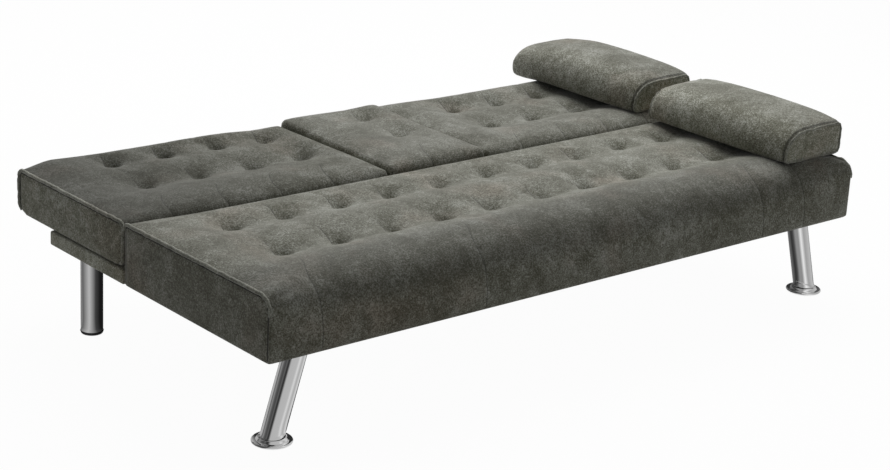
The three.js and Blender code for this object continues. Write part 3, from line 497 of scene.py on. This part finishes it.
# %% Stuff the pad
def stuff(piece, held, cap, pressure=4.0, frames=20):
    """Cloth under pressure. held is a mask of points that stay, and cap is the most that a point may move."""
    before = points_of(piece)
    group = piece.vertex_groups.new(name="held")
    group.add([int(i) for i in np.flatnonzero(held)], 1.0, "REPLACE")
    cloth = piece.modifiers.new("stuffing", "CLOTH")
    cloth.point_cache.frame_start = 1
    cloth.point_cache.frame_end = frames
    settings = cloth.settings
    settings.quality = 5
    settings.mass = 0.3
    settings.tension_stiffness = 12
    settings.compression_stiffness = 12
    settings.shear_stiffness = 8
    settings.bending_stiffness = 0.4
    settings.use_pressure = True
    settings.uniform_pressure_force = pressure
    settings.effector_weights.gravity = 0
    settings.vertex_group_mass = "held"
    cloth.collision_settings.use_collision = False
    for step in range(1, frames + 1):
        scene.frame_set(step)
    ready = piece.evaluated_get(bpy.context.evaluated_depsgraph_get())
    flat = np.empty(len(ready.data.vertices) * 3)
    ready.data.vertices.foreach_get("co", flat)
    piece.modifiers.clear()
    scene.frame_set(1)
    moved = flat.reshape(-1, 3) - before
    length = np.maximum(np.linalg.norm(moved, axis=1), 1e-9)
    moved *= (cap * np.tanh(length / cap) / length)[:, None]
    move_points(piece, before + moved)
    print(piece.name, "swelled by up to", round(float(length.max()) / mm, 1), "mm, kept to", round(cap / mm, 1))


def finer(piece):
    piece.vertex_groups.clear()
    smooth = piece.modifiers.new("finer", "SUBSURF")
    smooth.levels = smooth.render_levels = 1
    apply_modifiers(piece)


# %% Near a tuft, and near a piped end
def near_tufts(points, tufts, radius, top):
    held = np.zeros(len(points), bool)
    for x, y, _ in tufts:
        held |= np.hypot(points[:, 0] - x, points[:, 1] - y) < radius
    return held & (points[:, 2] > top - 60 * mm)


def near_piping(points, low, high):
    """Points on the rim of an end panel, where the end meets the long strip."""
    from_end = np.minimum(points[:, 0] - low.x, high.x - points[:, 0])
    across = np.minimum(points[:, 1] - low.y, high.y - points[:, 1])
    up = np.minimum(points[:, 2] - low.z, high.z - points[:, 2])
    return (from_end < 8 * mm) & (np.minimum(across, up) < 9 * mm)


# %% [markdown]
# ## Creases
# The long strip is pleated at its border: a seam leaves each tuft of the front row, drifts half a
# tuft pitch to the left while it curves over the rounded edge, and drops straight down. Behind a
# tuft the stitch pinches one short fold. Each crease is a soft valley in the skin, moved along the
# points' normals, and a fine dark line of painted shade in the material, drawn from the distance to
# the crease that each point stores. Round a piped end the line is a painted shadow under the cord.
# The distance is signed, so that it can be blended from point to point.

# %% Seams and pinched folds
def inside_rim(y, z, low, high, radii):
    """How far a point of an end panel lies inside the panel's rounded outline."""
    depth = np.minimum.reduce([y - low.y, high.y - y, high.z - z])
    for radius, centre_y, side in ((radii[0], low.y + radii[0], -1), (radii[1], high.y - radii[1], 1)):
        dy, dz = side * (y - centre_y), z - (high.z - radius)
        depth = np.where((dy > 0) & (dz > 0), radius - np.hypot(dy, dz), depth)
    return depth


def crease_pad(piece, low, high, tufts, seams, rows, radii, piped_ends):
    points = points_of(piece)
    x, y, z = points.T
    normals = normals_of(piece)
    nearest = np.full(len(points), 1.0)
    shows = np.zeros(len(points))

    def lay(distance, strength):
        closer = (np.abs(distance) < np.abs(nearest)) & (strength > 0.01)
        nearest[closer] = distance[closer]
        shows[closer] = strength[closer]

    run = (rows[0] - y) + np.maximum(0, high.z - 14 * mm - z)
    drift = -30 * mm * ease(run / (80 * mm)) - 42 * mm * ease((run - 80 * mm) / (110 * mm))
    on_strip = ease((z - low.z - 4 * mm) / (6 * mm)) * (y < rows[0])
    for column, strength, start in seams:
        lay(x - column - drift, strength * ease((run - start) / (22 * mm)) * on_strip)
    upper = ease((z - (high.z - 45 * mm)) / (12 * mm))
    for tuft_at_x, tuft_at_y, strength in tufts:
        reach = chance.uniform(34, 92) * mm
        lean = chance.uniform(4, 16) * mm
        behind = y - tuft_at_y
        fold = ease((behind - 5 * mm) / (8 * mm)) * ease((reach - behind) / (24 * mm))
        lay(x - tuft_at_x + 13 * mm - lean * behind / (100 * mm), chance.uniform(0.15, 0.7) * fold * upper)
    # painted shadow: a dark line along each piped end panel, just inside the cord
    for end in piped_ends:
        on_panel = ease((np.abs(normals[:, 0]) - 0.55) / 0.25) * (np.abs(x - end) < 20 * mm)
        lay(0.7 * (inside_rim(y, z, low, high, radii) - tuck - piping_radius - 1.2 * mm), 0.95 * on_panel)
    valley = 2.6 * mm * shows * np.exp(-(nearest / (5 * mm)) ** 2)
    points -= normals * valley[:, None]
    move_points(piece, points)
    store(piece, "crease_mm", nearest / mm)
    store(piece, "crease_shows", shows)


def hollow_underside(piece, low, high, top):
    """The cover is open below: its underside rises inside this box, over the dust cloth or the board."""
    points = points_of(piece)
    inside = (points[:, 0] > low.x) & (points[:, 0] < high.x) & (points[:, 1] > low.y) & (points[:, 1] < high.y)
    inside &= points[:, 2] < points[:, 2].min() + 12 * mm
    points[inside, 2] = top
    move_points(piece, points)


print("helpers for soft pieces are ready")

# %% [markdown]
# ## The seat
# The seat is one pad, as long as the bed. It is made in the order of real upholstery: the block,
# the piping at its ends, the tufts, the stuffing, and last the seams, which a remesh would lose.

# %% Seat pad
grown = Vector((2 * mm, 2 * mm, 0))
seat_radii = (36 * mm, 14 * mm, 5 * mm, 5 * mm)


def seat_pad():
    low = seat_low - Vector((0, 3 * mm, 2 * mm))
    high = Vector((seat_high.x, seat_high.y + 1.5 * mm, seat_edge_top + 3 * mm))
    tufts = tuft_places(tuft_x[:11], seat_rows)
    bm = rounded_block(low, high, *seat_radii)
    pipe_ends(bm, "seat", low, high, "base", [("left", low.x), ("right", high.x)])
    pad = piece_from(bm, "seat_pad", suede, "base", ["seat_cover", "seat_foam"])
    even_skin(pad, skin_voxel)
    sculpt_top(pad, low, high, 7 * mm, tufts, tuft_depth, front_fall=58 * mm)
    points = points_of(pad)
    held = near_tufts(points, tufts, 9 * mm, high.z) | near_piping(points, low, high)
    held |= points[:, 2] < low.z + 8 * mm
    stuff(pad, held, 7 * mm)
    finer(pad)
    seams = [(x, 0.5 if column in (0, 3, 9, 10) else 0.14, 78 * mm) for column, x in enumerate(tuft_x[:11])]
    crease_pad(pad, low, high, tufts, seams, seat_rows, seat_radii, [low.x, high.x])
    # painted shade over the rolled border, where the cover turns down toward the front and away from the light
    points, normals = points_of(pad), normals_of(pad)
    on_border = ease((low.y + 190 * mm - points[:, 1]) / (90 * mm)) * ease((normals[:, 2] - 0.2) / 0.4)
    store(pad, "painted_light_and_shade", -0.34 * on_border)
    cloth_low, cloth_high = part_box("seat_dust_cover")
    hollow_underside(pad, cloth_low - grown, cloth_high + grown, cloth_high.z + 0.6 * mm)
    return pad


seat = seat_pad()
print("seat pad has", len(seat.data.polygons), "faces")

# %% [markdown]
# ## The back
# Two sections and the console between them lie on the same fold line. Each section has piping at
# its outer end only, because its inner end faces the console. Short pleats run from the front row
# of tufts down into the groove along the fold line. The hinge brackets stand in slots under the
# outer ends, which a Boolean modifier cuts after the stuffing.

# %% Back sections and console
def back_pad(name, stands_for, columns, rows, depth, radii, body, top, piped_end=None, rear_rise=0.0, painted_light_and_shade=(0.0, 0.0)):
    """rear_rise lifts the rear edge between the ends, and the last argument is the painted light and shade of the top
    at its left and its right end.
    """
    low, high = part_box(stands_for[0])
    low -= Vector((0, 3 * mm, 2 * mm))
    high.y += 9 * mm
    high.z = top
    ends = [(piped_end, low.x if piped_end == "left" else high.x)] if piped_end else []
    tufts = tuft_places(columns, rows)
    bm = rounded_block(low, high, *radii)
    pipe_ends(bm, name, low, high, body, ends)
    pad = piece_from(bm, name + "_pad", shaded_copy_suede if piped_end == "left" else suede, body, stands_for)
    even_skin(pad, skin_voxel)
    sculpt_top(pad, low, high, 5 * mm, tufts, depth, front_run=130 * mm)
    points = points_of(pad)
    upper = ease((points[:, 2] - (high.z - 50 * mm)) / (35 * mm))
    between = ease((points[:, 0] - low.x) / (80 * mm)) * ease((high.x - points[:, 0]) / (240 * mm))
    rising = rear_rise * (between if piped_end == "left" else 1.0)
    points[:, 2] += upper * rising * ease((points[:, 1] - high.y + 210 * mm) / (170 * mm))
    move_points(pad, points)
    held = near_tufts(points, tufts, 9 * mm, high.z) | near_piping(points, low, high)
    held |= points[:, 2] < low.z + 8 * mm
    stuff(pad, held, 7 * mm)
    finer(pad)
    pleats = [(x, 0.55, 112 * mm) for x in columns]
    crease_pad(pad, low, high, tufts, pleats, rows, radii, [place for _, place in ends])
    points, normals = points_of(pad), normals_of(pad)
    # painted light and shade: the end panels paler, and the top paler or darker from its left to its right end
    on_top = painted_light_and_shade[0] + (painted_light_and_shade[1] - painted_light_and_shade[0]) * ease((points[:, 0] - low.x) / (high.x - low.x))
    store(pad, "painted_light_and_shade", np.where(np.abs(normals[:, 0]) > 0.7, end_painted_light_and_shade, on_top))
    return pad


def cut_slot(pad, low, high):
    bm = bmesh.new()
    bmesh.ops.create_cube(bm, size=1.0)
    bmesh.ops.scale(bm, vec=high - low, verts=bm.verts)
    bmesh.ops.translate(bm, vec=(low + high) / 2, verts=bm.verts)
    mesh = bpy.data.meshes.new("slot")
    bm.to_mesh(mesh)
    bm.free()
    cutter = bpy.data.objects.new("slot", mesh)
    scene.collection.objects.link(cutter)
    cut = pad.modifiers.new("slot", "BOOLEAN")
    cut.operation = "DIFFERENCE"
    cut.object = cutter
    cut.solver = "EXACT"
    apply_modifiers(pad)
    bpy.data.objects.remove(cutter)


# how much paler the end panels are painted, as painted light
end_painted_light_and_shade = 0.32
back_radii = (16 * mm, 16 * mm, 22 * mm, 26 * mm)
back_top = seat_edge_top + 3 * mm
# the last numbers paint shade on the tops, darkest at the left end of the left section
back_left = back_pad("back_left", ["back_left_cover", "back_left_foam"], tuft_x[0:4], back_left_rows, tuft_depth,
                     back_radii, "back", back_top, "left", 13 * mm, (-0.6, -0.3))
back_right = back_pad("back_right", ["back_right_cover", "back_right_foam"], tuft_x[7:11], back_right_rows,
                      tuft_depth, back_radii, "back", back_top, "right", 5 * mm, (-0.22, -0.22))
console_radii = (18 * mm, 20 * mm, 20 * mm, 20 * mm)
console = back_pad("console", ["console_cover"], [56 * mm], console_rows, 24 * mm, console_radii, "console",
                   back_top + 7 * mm, None, 6 * mm, (-0.24, -0.2))
for pad, side in ((back_left, "left"), (back_right, "right")):
    cloth_low, cloth_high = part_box(f"back_{side}_dust_cover")
    hollow_underside(pad, cloth_low - grown, cloth_high + grown, cloth_high.z + 0.6 * mm)
    bracket_low, bracket_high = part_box(f"{side}_hinge_bracket")
    room = Vector((4.4 * mm, 3 * mm, 2 * mm))
    cut_slot(pad, bracket_low - room, Vector((bracket_high.x + 0.8 * mm, bracket_high.y + 9 * mm, bracket_high.z + 2 * mm)))
board_low, board_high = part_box("console_board")
hollow_underside(console, board_low - grown, board_high + grown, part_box("console_left_cup_well")[1].z + 2 * mm)
print("back and console pads are made")

# %% [markdown]
# ## The loose cushions
# A cushion is a long bolster with a flat base, a rounded inner side and a flat panel at each end.
# The CAD solid has that form with a crown, so a copy of it is the block to stuff. Its outer side is
# pulled out a little, because the real cushions hang over the end of the bed.

# %% Cushions
def cushion(name, node, body, top_painted_light_and_shade, far_sag):
    """far_sag is how much the far end droops and bulges over the edge of the bed."""
    low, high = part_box(node)
    bm = bmesh.new()
    bm.from_mesh(nodes[node].data)
    bmesh.ops.remove_doubles(bm, verts=bm.verts, dist=0.01 * mm)
    bmesh.ops.scale(bm, vec=(1.125, 1.0, 0.975), verts=bm.verts, space=Matrix.Translation((-low.x, 0, -low.z)))
    for vert in bm.verts:
        outward, up = (vert.co.x - low.x) / (high.x - low.x), (vert.co.z - low.z) / (high.z - low.z)
        vert.co.z += 10 * mm * up * max(0.0, outward - 0.45)
    for end, place in (("near", low.y), ("far", high.y)):
        rim = rim_of(bm, 1, place)
        tuck_in(rim, low, Vector((high.x + 24 * mm, high.y, high.z)), 1.4 * mm)
        if end == "near" or not far_sag:
            piping(f"{name}_{end}_piping", rim, body, closed=True, radius=2.8 * mm)
    piece = piece_from(bm, name + "_pad", suede, body, [node])
    even_skin(piece, 6 * mm)
    points = points_of(piece)
    droop = ease((points[:, 1] - high.y + 130 * mm) / (130 * mm))
    height = (points[:, 2] - low.z) / (high.z - low.z)
    bulge = ease((points[:, 1] - high.y + 40 * mm) / (40 * mm)) * np.clip(1 - (1.7 * height - 0.7) ** 2, 0, 1)
    points[:, 1] += 2 * far_sag * bulge
    points[:, 2] -= far_sag * droop
    move_points(piece, points)
    held = (np.minimum(points[:, 1] - low.y, high.y - points[:, 1]) < 7 * mm) | (points[:, 2] < low.z + 6 * mm)
    stuff(piece, held, 4 * mm)
    finer(piece)
    points, normals = points_of(piece), normals_of(piece)
    # painted light and shade: the end panels paler, the side turned toward -X paler, and each top paler or darker by
    # its own amount
    store(piece, "painted_light_and_shade", np.where(np.abs(normals[:, 1]) > 0.8, 0.75, top_painted_light_and_shade + 0.25 * ease(-1.6 * normals[:, 0])))
    # painted shade: a dark line round the cushion at the seam just behind the near piping
    store(piece, "crease_mm", 0.6 * (points[:, 1] - low.y - 7 * mm) / mm)
    store(piece, "crease_shows", np.where(np.abs(normals[:, 1]) < 0.75, 0.6, 0.0))
    return piece


front_cushion = cushion("front_cushion", "front_pillow", "front_cushion", 0.1, 0.0)
rear_cushion = cushion("rear_cushion", "rear_pillow", "rear_cushion", -0.15, 8 * mm)
print("cushions are made")

# %% [markdown]
# ## Chrome legs
# The front legs are steel tubes, bent outwards at their welded plate, with a turned foot flange.
# The rear legs stand upright in rubber caps. A tube is a cone with two equal ends and many sides.
# A splayed one is the same tube sheared sideways, so that it is cut level at both ends. The flange
# is turned: half of its outline spun round the axis, after its corners are rounded.

# %% A turned piece, a tube and a plate
def turned(outline, rounding, steps=96):
    """Spins half an outline, given as radius and height in mm from axis to axis, round the Z axis."""
    bm = bmesh.new()
    row = [bm.verts.new((radius * mm, 0, height * mm)) for radius, height in outline]
    for pair in zip(row, row[1:]):
        bm.edges.new(pair)
    bmesh.ops.bevel(bm, geom=row[1:-1], offset=rounding * mm, affect="VERTICES", segments=4, profile=0.5, material=-1)
    bmesh.ops.spin(bm, geom=bm.verts[:] + bm.edges[:], cent=(0, 0, 0), axis=(0, 0, 1), angle=math.tau, steps=steps,
                   use_merge=True)
    bmesh.ops.remove_doubles(bm, verts=bm.verts, dist=0.005 * mm)
    bmesh.ops.recalc_face_normals(bm, faces=bm.faces)
    return bm


def tube(bm, radius, foot, head):
    """Adds a closed tube from a foot to a head, cut level at both ends."""
    rise = head.z - foot.z
    lean = (head - foot).to_2d() / rise
    made = bmesh.ops.create_cone(bm, cap_ends=True, segments=96, radius1=radius, radius2=radius, depth=rise)["verts"]
    bmesh.ops.scale(bm, vec=(math.hypot(1, lean.x), 1, 1), verts=made)
    shear = Matrix.Identity(4)
    shear[0][2], shear[1][2] = lean
    bmesh.ops.transform(bm, matrix=shear, verts=made)
    bmesh.ops.translate(bm, vec=(foot + head) / 2, verts=made)


def plate(bm, low, high, corner):
    """Adds a plate with round corners and slightly broken edges."""
    made = bmesh.ops.create_cube(bm, size=1.0)["verts"]
    bmesh.ops.scale(bm, vec=high - low, verts=made)
    bmesh.ops.translate(bm, vec=(low + high) / 2, verts=made)
    upright = [e for e in {e for v in made for e in v.link_edges} if abs(e.verts[0].co.z - e.verts[1].co.z) > mm]
    bmesh.ops.bevel(bm, geom=upright, offset=corner, affect="EDGES", segments=8, profile=0.5, material=-1)


# %% Legs and their screws
tube_radius = 24.5 * mm
screws = bmesh.new()


def screw_head(x, y, z, radius=5 * mm, depth=2.2 * mm):
    """A pan head under a plate. Its cross cut would be only a dimple at this size, and is not made."""
    made = bmesh.ops.create_cone(screws, cap_ends=True, segments=20, radius1=radius * 0.72, radius2=radius, depth=depth)
    bmesh.ops.translate(screws, vec=(x, y, z - depth / 2), verts=made["verts"])


leg_axes = {}


def leg(end, side):
    low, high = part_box(f"{end}_{side}_leg")
    foot_low, foot_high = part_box(f"{end}_{side}_foot_" + ("flange" if end == "front" else "cap"))
    foot = Vector(((foot_low.x + foot_high.x) / 2, (foot_low.y + foot_high.y) / 2, low.z))
    inward = 1 if side == "left" else -1
    half = (high.y - low.y) / 2
    plate_x = (high.x - half if inward > 0 else low.x + half)
    head = Vector((plate_x, foot.y, high.z - 3 * mm))
    leg_axes[f"{end}_{side}"] = (foot, head)
    bm = bmesh.new()
    tube(bm, tube_radius, foot, head)
    plate(bm, Vector((plate_x - half, foot.y - half, high.z - 3 * mm)), Vector((plate_x + half, foot.y + half, high.z)),
          12 * mm)
    made = piece_from(bm, f"{end}_{side}_tube", chrome, "base", [f"{end}_{side}_leg"])
    crisp = made.modifiers.new("crisp", "BEVEL")
    crisp.width = 0.5 * mm
    crisp.segments = 2
    crisp.limit_method = "ANGLE"
    for sx in (-1, 1):
        for sy in (-1, 1):
            screw_head(plate_x + sx * (half - 9 * mm), foot.y + sy * (half - 9 * mm), high.z - 3 * mm)
    return foot


flange_outline = [(0, 0), (41, 0), (42, 1.2), (42, 4.6), (40.2, 6.4), (38.8, 6.5), (33.9, 6.8), (32.5, 6.9), (31.2, 9.2), (29.4, 12.2),
                  (26.2, 12.2), (25.6, 9.5), (0, 9.5)]
cap_outline = [(0, 0), (23.2, 0), (24.4, 1.4), (24.9, 4.2), (25.6, 4.8), (25.6, 6.0), (24.8, 6.6), (24.6, 5.4), (0, 5.4)]
for side in ("left", "right"):
    foot = leg("front", side)
    bm = turned(flange_outline, 0.55)
    bmesh.ops.translate(bm, vec=(foot.x, foot.y, 0), verts=bm.verts)
    piece_from(bm, f"front_{side}_flange", chrome, "base", [f"front_{side}_foot_flange"])
    foot = leg("rear", side)
    bm = turned(cap_outline, 0.3)
    bmesh.ops.translate(bm, vec=(foot.x, foot.y, 0), verts=bm.verts)
    piece_from(bm, f"rear_{side}_cap", rubber, "base", [f"rear_{side}_foot_cap"])
piece_from(screws, "leg_screws", zinc, "base")
print("four legs on plates, with", 16, "screws")

# %% [markdown]
# ## Fabric on the base rails, and staples
# The rails behind the seat are wrapped in the same suede, pulled tight, so only their edges are
# soft. The dust cloth under each section is held by wire staples, about 60 mm apart and 6 mm in
# from the edge. Each staple is a flat bar, because only its crown shows.

# %% Wrapped rails
def wrapped(node, bracket=None):
    """A rail with fabric round it: the rail's box with soft edges, up against the seat, cut open for a bracket."""
    low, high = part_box(node)
    if bracket:
        low.y -= 3.5 * mm
    bm = bmesh.new()
    bmesh.ops.create_cube(bm, size=1.0)
    bmesh.ops.scale(bm, vec=high - low, verts=bm.verts)
    bmesh.ops.translate(bm, vec=(low + high) / 2, verts=bm.verts)
    bmesh.ops.bevel(bm, geom=bm.edges[:], offset=5 * mm, offset_type="OFFSET", affect="EDGES", segments=4, profile=0.5,
                    material=-1)
    piece = piece_from(bm, node + "_wrap", suede, "base", [node])
    if bracket:
        inner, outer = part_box(bracket)
        cut_slot(piece, Vector((inner.x - 1.5 * mm, inner.y - 3 * mm, low.z + 3 * mm)),
                 Vector((outer.x + 1.5 * mm, outer.y + 3 * mm, high.z + 9 * mm)))
    piece.data.set_sharp_from_angle(angle=math.radians(40))
    # painted light: the wrapped rail is made paler
    store(piece, "painted_light_and_shade", 0.75)
    return piece


for side in ("left", "right"):
    wrapped(f"base_{side}_sleeve", f"{side}_hinge_bracket")
wrapped("base_rear_sleeve")


# %% Staples
def staples(name, node, body, pitch=60 * mm, inset=6 * mm):
    low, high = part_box(node)
    bm = bmesh.new()
    runs = [((low.x, high.x), (low.y + inset, high.y - inset), True), ((low.y, high.y), (low.x + inset, high.x - inset), False)]
    count = 0
    for (start, stop), edges, along_x in runs:
        number = round((stop - start - 2 * inset) / pitch)
        for place in np.linspace(start + 3 * inset, stop - 3 * inset, max(2, number)):
            for edge in edges:
                made = bmesh.ops.create_cube(bm, size=1.0)["verts"]
                turn = Matrix.Rotation(chance.normal(0, 0.08) + (0 if along_x else math.pi / 2), 4, "Z")
                bmesh.ops.scale(bm, vec=(11 * mm, 1.2 * mm, 0.7 * mm), verts=made)
                bmesh.ops.rotate(bm, matrix=turn, verts=made, cent=(0, 0, 0))
                spot = (place, edge) if along_x else (edge, place)
                bmesh.ops.translate(bm, vec=(*spot, low.z), verts=made)
                count += 1
    piece_from(bm, name, zinc, body, smooth=False)
    return count


held = staples("seat_staples", "seat_dust_cover", "base")
for side in ("left", "right"):
    held += staples(f"back_{side}_staples", f"back_{side}_dust_cover", "back")
print("staples", held)

# %% [markdown]
# ## The studio
# A plain floor, a large soft light overhead and a weak fill from the front left. The tops of the
# pads are then twice as bright as their fronts, as in a shop photograph. What the camera sees of
# the floor and the backdrop is white by their own light, so no lamp has to burn them out, and the
# floor still takes a faint shadow. Polished tubes look like metal only with something to mirror,
# so grey and dark cards stand near the legs, where only reflections see them.

# %% Floor, lights and world
bm = bmesh.new()
bmesh.ops.create_grid(bm, x_segments=1, y_segments=1, size=30.0)
floor_mesh = bpy.data.meshes.new("floor")
bm.to_mesh(floor_mesh)
bm.free()
floor = bpy.data.objects.new("floor", floor_mesh)
scene.collection.objects.link(floor)
floor_material, tree = new_material("pale_floor")
ray = add_node(tree, "ShaderNodeLightPath")
seen = add_node(tree, "ShaderNodeMath", {"operation": "MAXIMUM"})
tree.links.new(ray.outputs["Is Camera Ray"], seen.inputs[0])
tree.links.new(ray.outputs["Is Glossy Ray"], seen.inputs[1])
share = add_node(tree, "ShaderNodeMath", {"operation": "MULTIPLY", 1: 0.97}, Value=seen.outputs["Value"])
matt = add_node(tree, "ShaderNodeBsdfDiffuse", {"Color": linear("d8d8d8")})
white = add_node(tree, "ShaderNodeEmission", {"Color": linear("ffffff"), "Strength": 1.0})
both = add_node(tree, "ShaderNodeMixShader", Fac=share.outputs["Value"])
tree.links.new(matt.outputs["BSDF"], both.inputs[1])
tree.links.new(white.outputs["Emission"], both.inputs[2])
add_node(tree, "ShaderNodeOutputMaterial", Surface=both.outputs["Shader"])
floor_mesh.materials.append(floor_material)


def soft_light(name, place, aim, size, power):
    lamp = bpy.data.lights.new(name, "AREA")
    lamp.shape = "RECTANGLE"
    lamp.size, lamp.size_y = size
    lamp.energy = power
    light = bpy.data.objects.new(name, lamp)
    scene.collection.objects.link(light)
    light.location = place
    light.rotation_euler = (Vector(aim) - Vector(place)).to_track_quat("-Z", "Y").to_euler()
    return light


soft_light("overhead", (1.3, 1.5, 2.9), (0.1, 0.0, 0.3), (3.4, 2.6), 150)
soft_light("fill", (1.5, -4.5, 2.0), (0.3, 0.0, 0.2), (3.0, 2.0), 12)

world = bpy.data.worlds.new("studio")
scene.world = world
world.use_nodes = True
tree = world.node_tree
tree.nodes.clear()
ray = add_node(tree, "ShaderNodeLightPath")
level = add_node(tree, "ShaderNodeBackground", {"Color": linear("ffffff"), "Strength": 0.17})
seen_white = add_node(tree, "ShaderNodeBackground", {"Color": linear("ffffff"), "Strength": 1.0})
shown = add_node(tree, "ShaderNodeMath", {"operation": "MAXIMUM"})
tree.links.new(ray.outputs["Is Camera Ray"], shown.inputs[0])
tree.links.new(ray.outputs["Is Glossy Ray"], shown.inputs[1])
both = add_node(tree, "ShaderNodeMixShader", Fac=shown.outputs["Value"])
tree.links.new(level.outputs["Background"], both.inputs[1])
tree.links.new(seen_white.outputs["Background"], both.inputs[2])
add_node(tree, "ShaderNodeOutputWorld", Surface=both.outputs["Shader"])

# %% [markdown]
# ## The camera
# The photograph was taken from the front left, a little above the bed, with a long lens.

# %% Camera
camera_place = Vector((-3.076, -3.5545, 1.770))
camera_yaw, camera_pitch, camera_roll = math.radians(41.03), math.radians(-18.96), math.radians(3.1)
lens = bpy.data.cameras.new("camera")
lens.sensor_width = 36.0
lens.lens = 86.45
lens.clip_end = 100.0
camera = bpy.data.objects.new("camera", lens)
scene.collection.objects.link(camera)
turn = (Matrix.Rotation(-camera_yaw, 4, "Z") @ Matrix.Rotation(math.pi / 2 + camera_pitch, 4, "X")
        @ Matrix.Rotation(camera_roll, 4, "Z"))
camera.matrix_world = Matrix.Translation(camera_place) @ turn
scene.camera = camera
scene.view_settings.view_transform = "Standard"


# %% Cards for the chrome
card_reach = 85 * mm


def across_tube(share):
    """Where a card must stand to be mirrored at a place across the tube, from -1 at its left edge to 1 at its right."""
    return 2 * math.asin(share) - math.asin(share * tube_radius / card_reach)


def card_material(name, tones):
    """A grey that changes along the card. Each tone is a place across the tube and a shade."""
    material, tree = new_material(name)
    place = add_node(tree, "ShaderNodeAttribute", {"attribute_name": "across_tube"})
    share = add_node(tree, "ShaderNodeMapRange", {"From Min": -1.0, "From Max": 1.0}, Value=place.outputs["Fac"])
    ramp = add_node(tree, "ShaderNodeValToRGB", Fac=share.outputs["Result"])
    steps = ramp.color_ramp.elements
    steps.remove(steps[1])
    for number, (at, shade) in enumerate(tones):
        step = steps[0] if number == 0 else steps.new((at + 1) / 2)
        step.position, step.color = (at + 1) / 2, linear(shade)
    glow = add_node(tree, "ShaderNodeEmission", {"Strength": 1.0}, Color=ramp.outputs["Color"])
    add_node(tree, "ShaderNodeOutputMaterial", Surface=glow.outputs["Emission"])
    return material


def card(name, foot, head, foot_radius, foot_height, material):
    """A ring round a leg: a collar over its foot, then a ring on the floor that stands up, seen only in reflections."""
    rows = [(tube_radius, foot_height), (tube_radius + 7 * mm, foot_height), (foot_radius, 2 * mm), (card_reach, 2 * mm),
            (card_reach, head.z)]
    ahead = camera_place - (foot + head) / 2
    facing = math.atan2(ahead.y, ahead.x)
    bm = bmesh.new()
    bmesh.ops.create_grid(bm, x_segments=100, y_segments=4, size=1.0)
    over_foot = [f for f in bm.faces if -0.5 < f.calc_center_median().y < 0]
    bmesh.ops.delete(bm, geom=over_foot, context="FACES_ONLY")
    place = bm.verts.layers.float.new("across_tube")
    for vert in bm.verts:
        side = math.copysign(1.0, vert.co.x)
        behind = max(0.0, abs(vert.co.x) - 0.92) / 0.08
        vert[place] = side if behind else vert.co.x / 0.92 * 0.99
        angle = facing + across_tube(0.99 * vert[place]) + side * behind * (math.pi - across_tube(0.98))
        reach, height = rows[round(2 * vert.co.y) + 2]
        middle = foot.lerp(head, height / head.z)
        vert.co = (middle.x + reach * math.cos(angle), middle.y + reach * math.sin(angle), height)
    mesh = bpy.data.meshes.new(name)
    bm.to_mesh(mesh)
    bm.free()
    mesh.materials.append(material)
    made = bpy.data.objects.new(name, mesh)
    scene.collection.objects.link(made)
    made.visible_camera = made.visible_diffuse = made.visible_shadow = made.visible_transmission = False


front_left_card = card_material("front_left_card", [
    (-1.0, "303030"), (-0.98, "c0c0c0"), (-0.86, "b4b4b4"), (-0.82, "545454"), (-0.74, "949494"), (-0.62, "5c5c5c"),
    (-0.5, "4c4c4c"), (-0.44, "686868"), (-0.34, "363636"), (-0.26, "3c3c3c"), (-0.14, "c0c0c0"), (0.35, "c4c4c4"),
    (0.5, "e6e6e6"), (0.7, "b4b4b4"), (0.86, "e0e0e0"), (0.93, "c8c8c8"), (0.95, "303030"), (1.0, "303030")])
front_right_card = card_material("front_right_card", [
    (-1.0, "303030"), (-0.98, "787878"), (-0.62, "343434"), (-0.42, "505050"), (-0.22, "989898"), (0.04, "989898"),
    (0.28, "fafafa"), (0.56, "aaaaaa"), (0.96, "c8c8c8"), (1.0, "303030")])
rear_card = card_material("rear_card", [
    (-1.0, "303030"), (-0.96, "989898"), (-0.8, "686868"), (-0.24, "c2c2c2"), (0.0, "9c9c9c"), (0.32, "444444"),
    (0.72, "1a1a1a"), (1.0, "1c1c1c")])
for leg_name, material in (("front_left", front_left_card), ("front_right", front_right_card), ("rear_left", rear_card),
                           ("rear_right", rear_card)):
    foot_size = (43 * mm, 12.6 * mm) if leg_name.startswith("front") else (26 * mm, 7 * mm)
    card(leg_name + "_card", *leg_axes[leg_name], *foot_size, material)
print("cards stand round four legs")
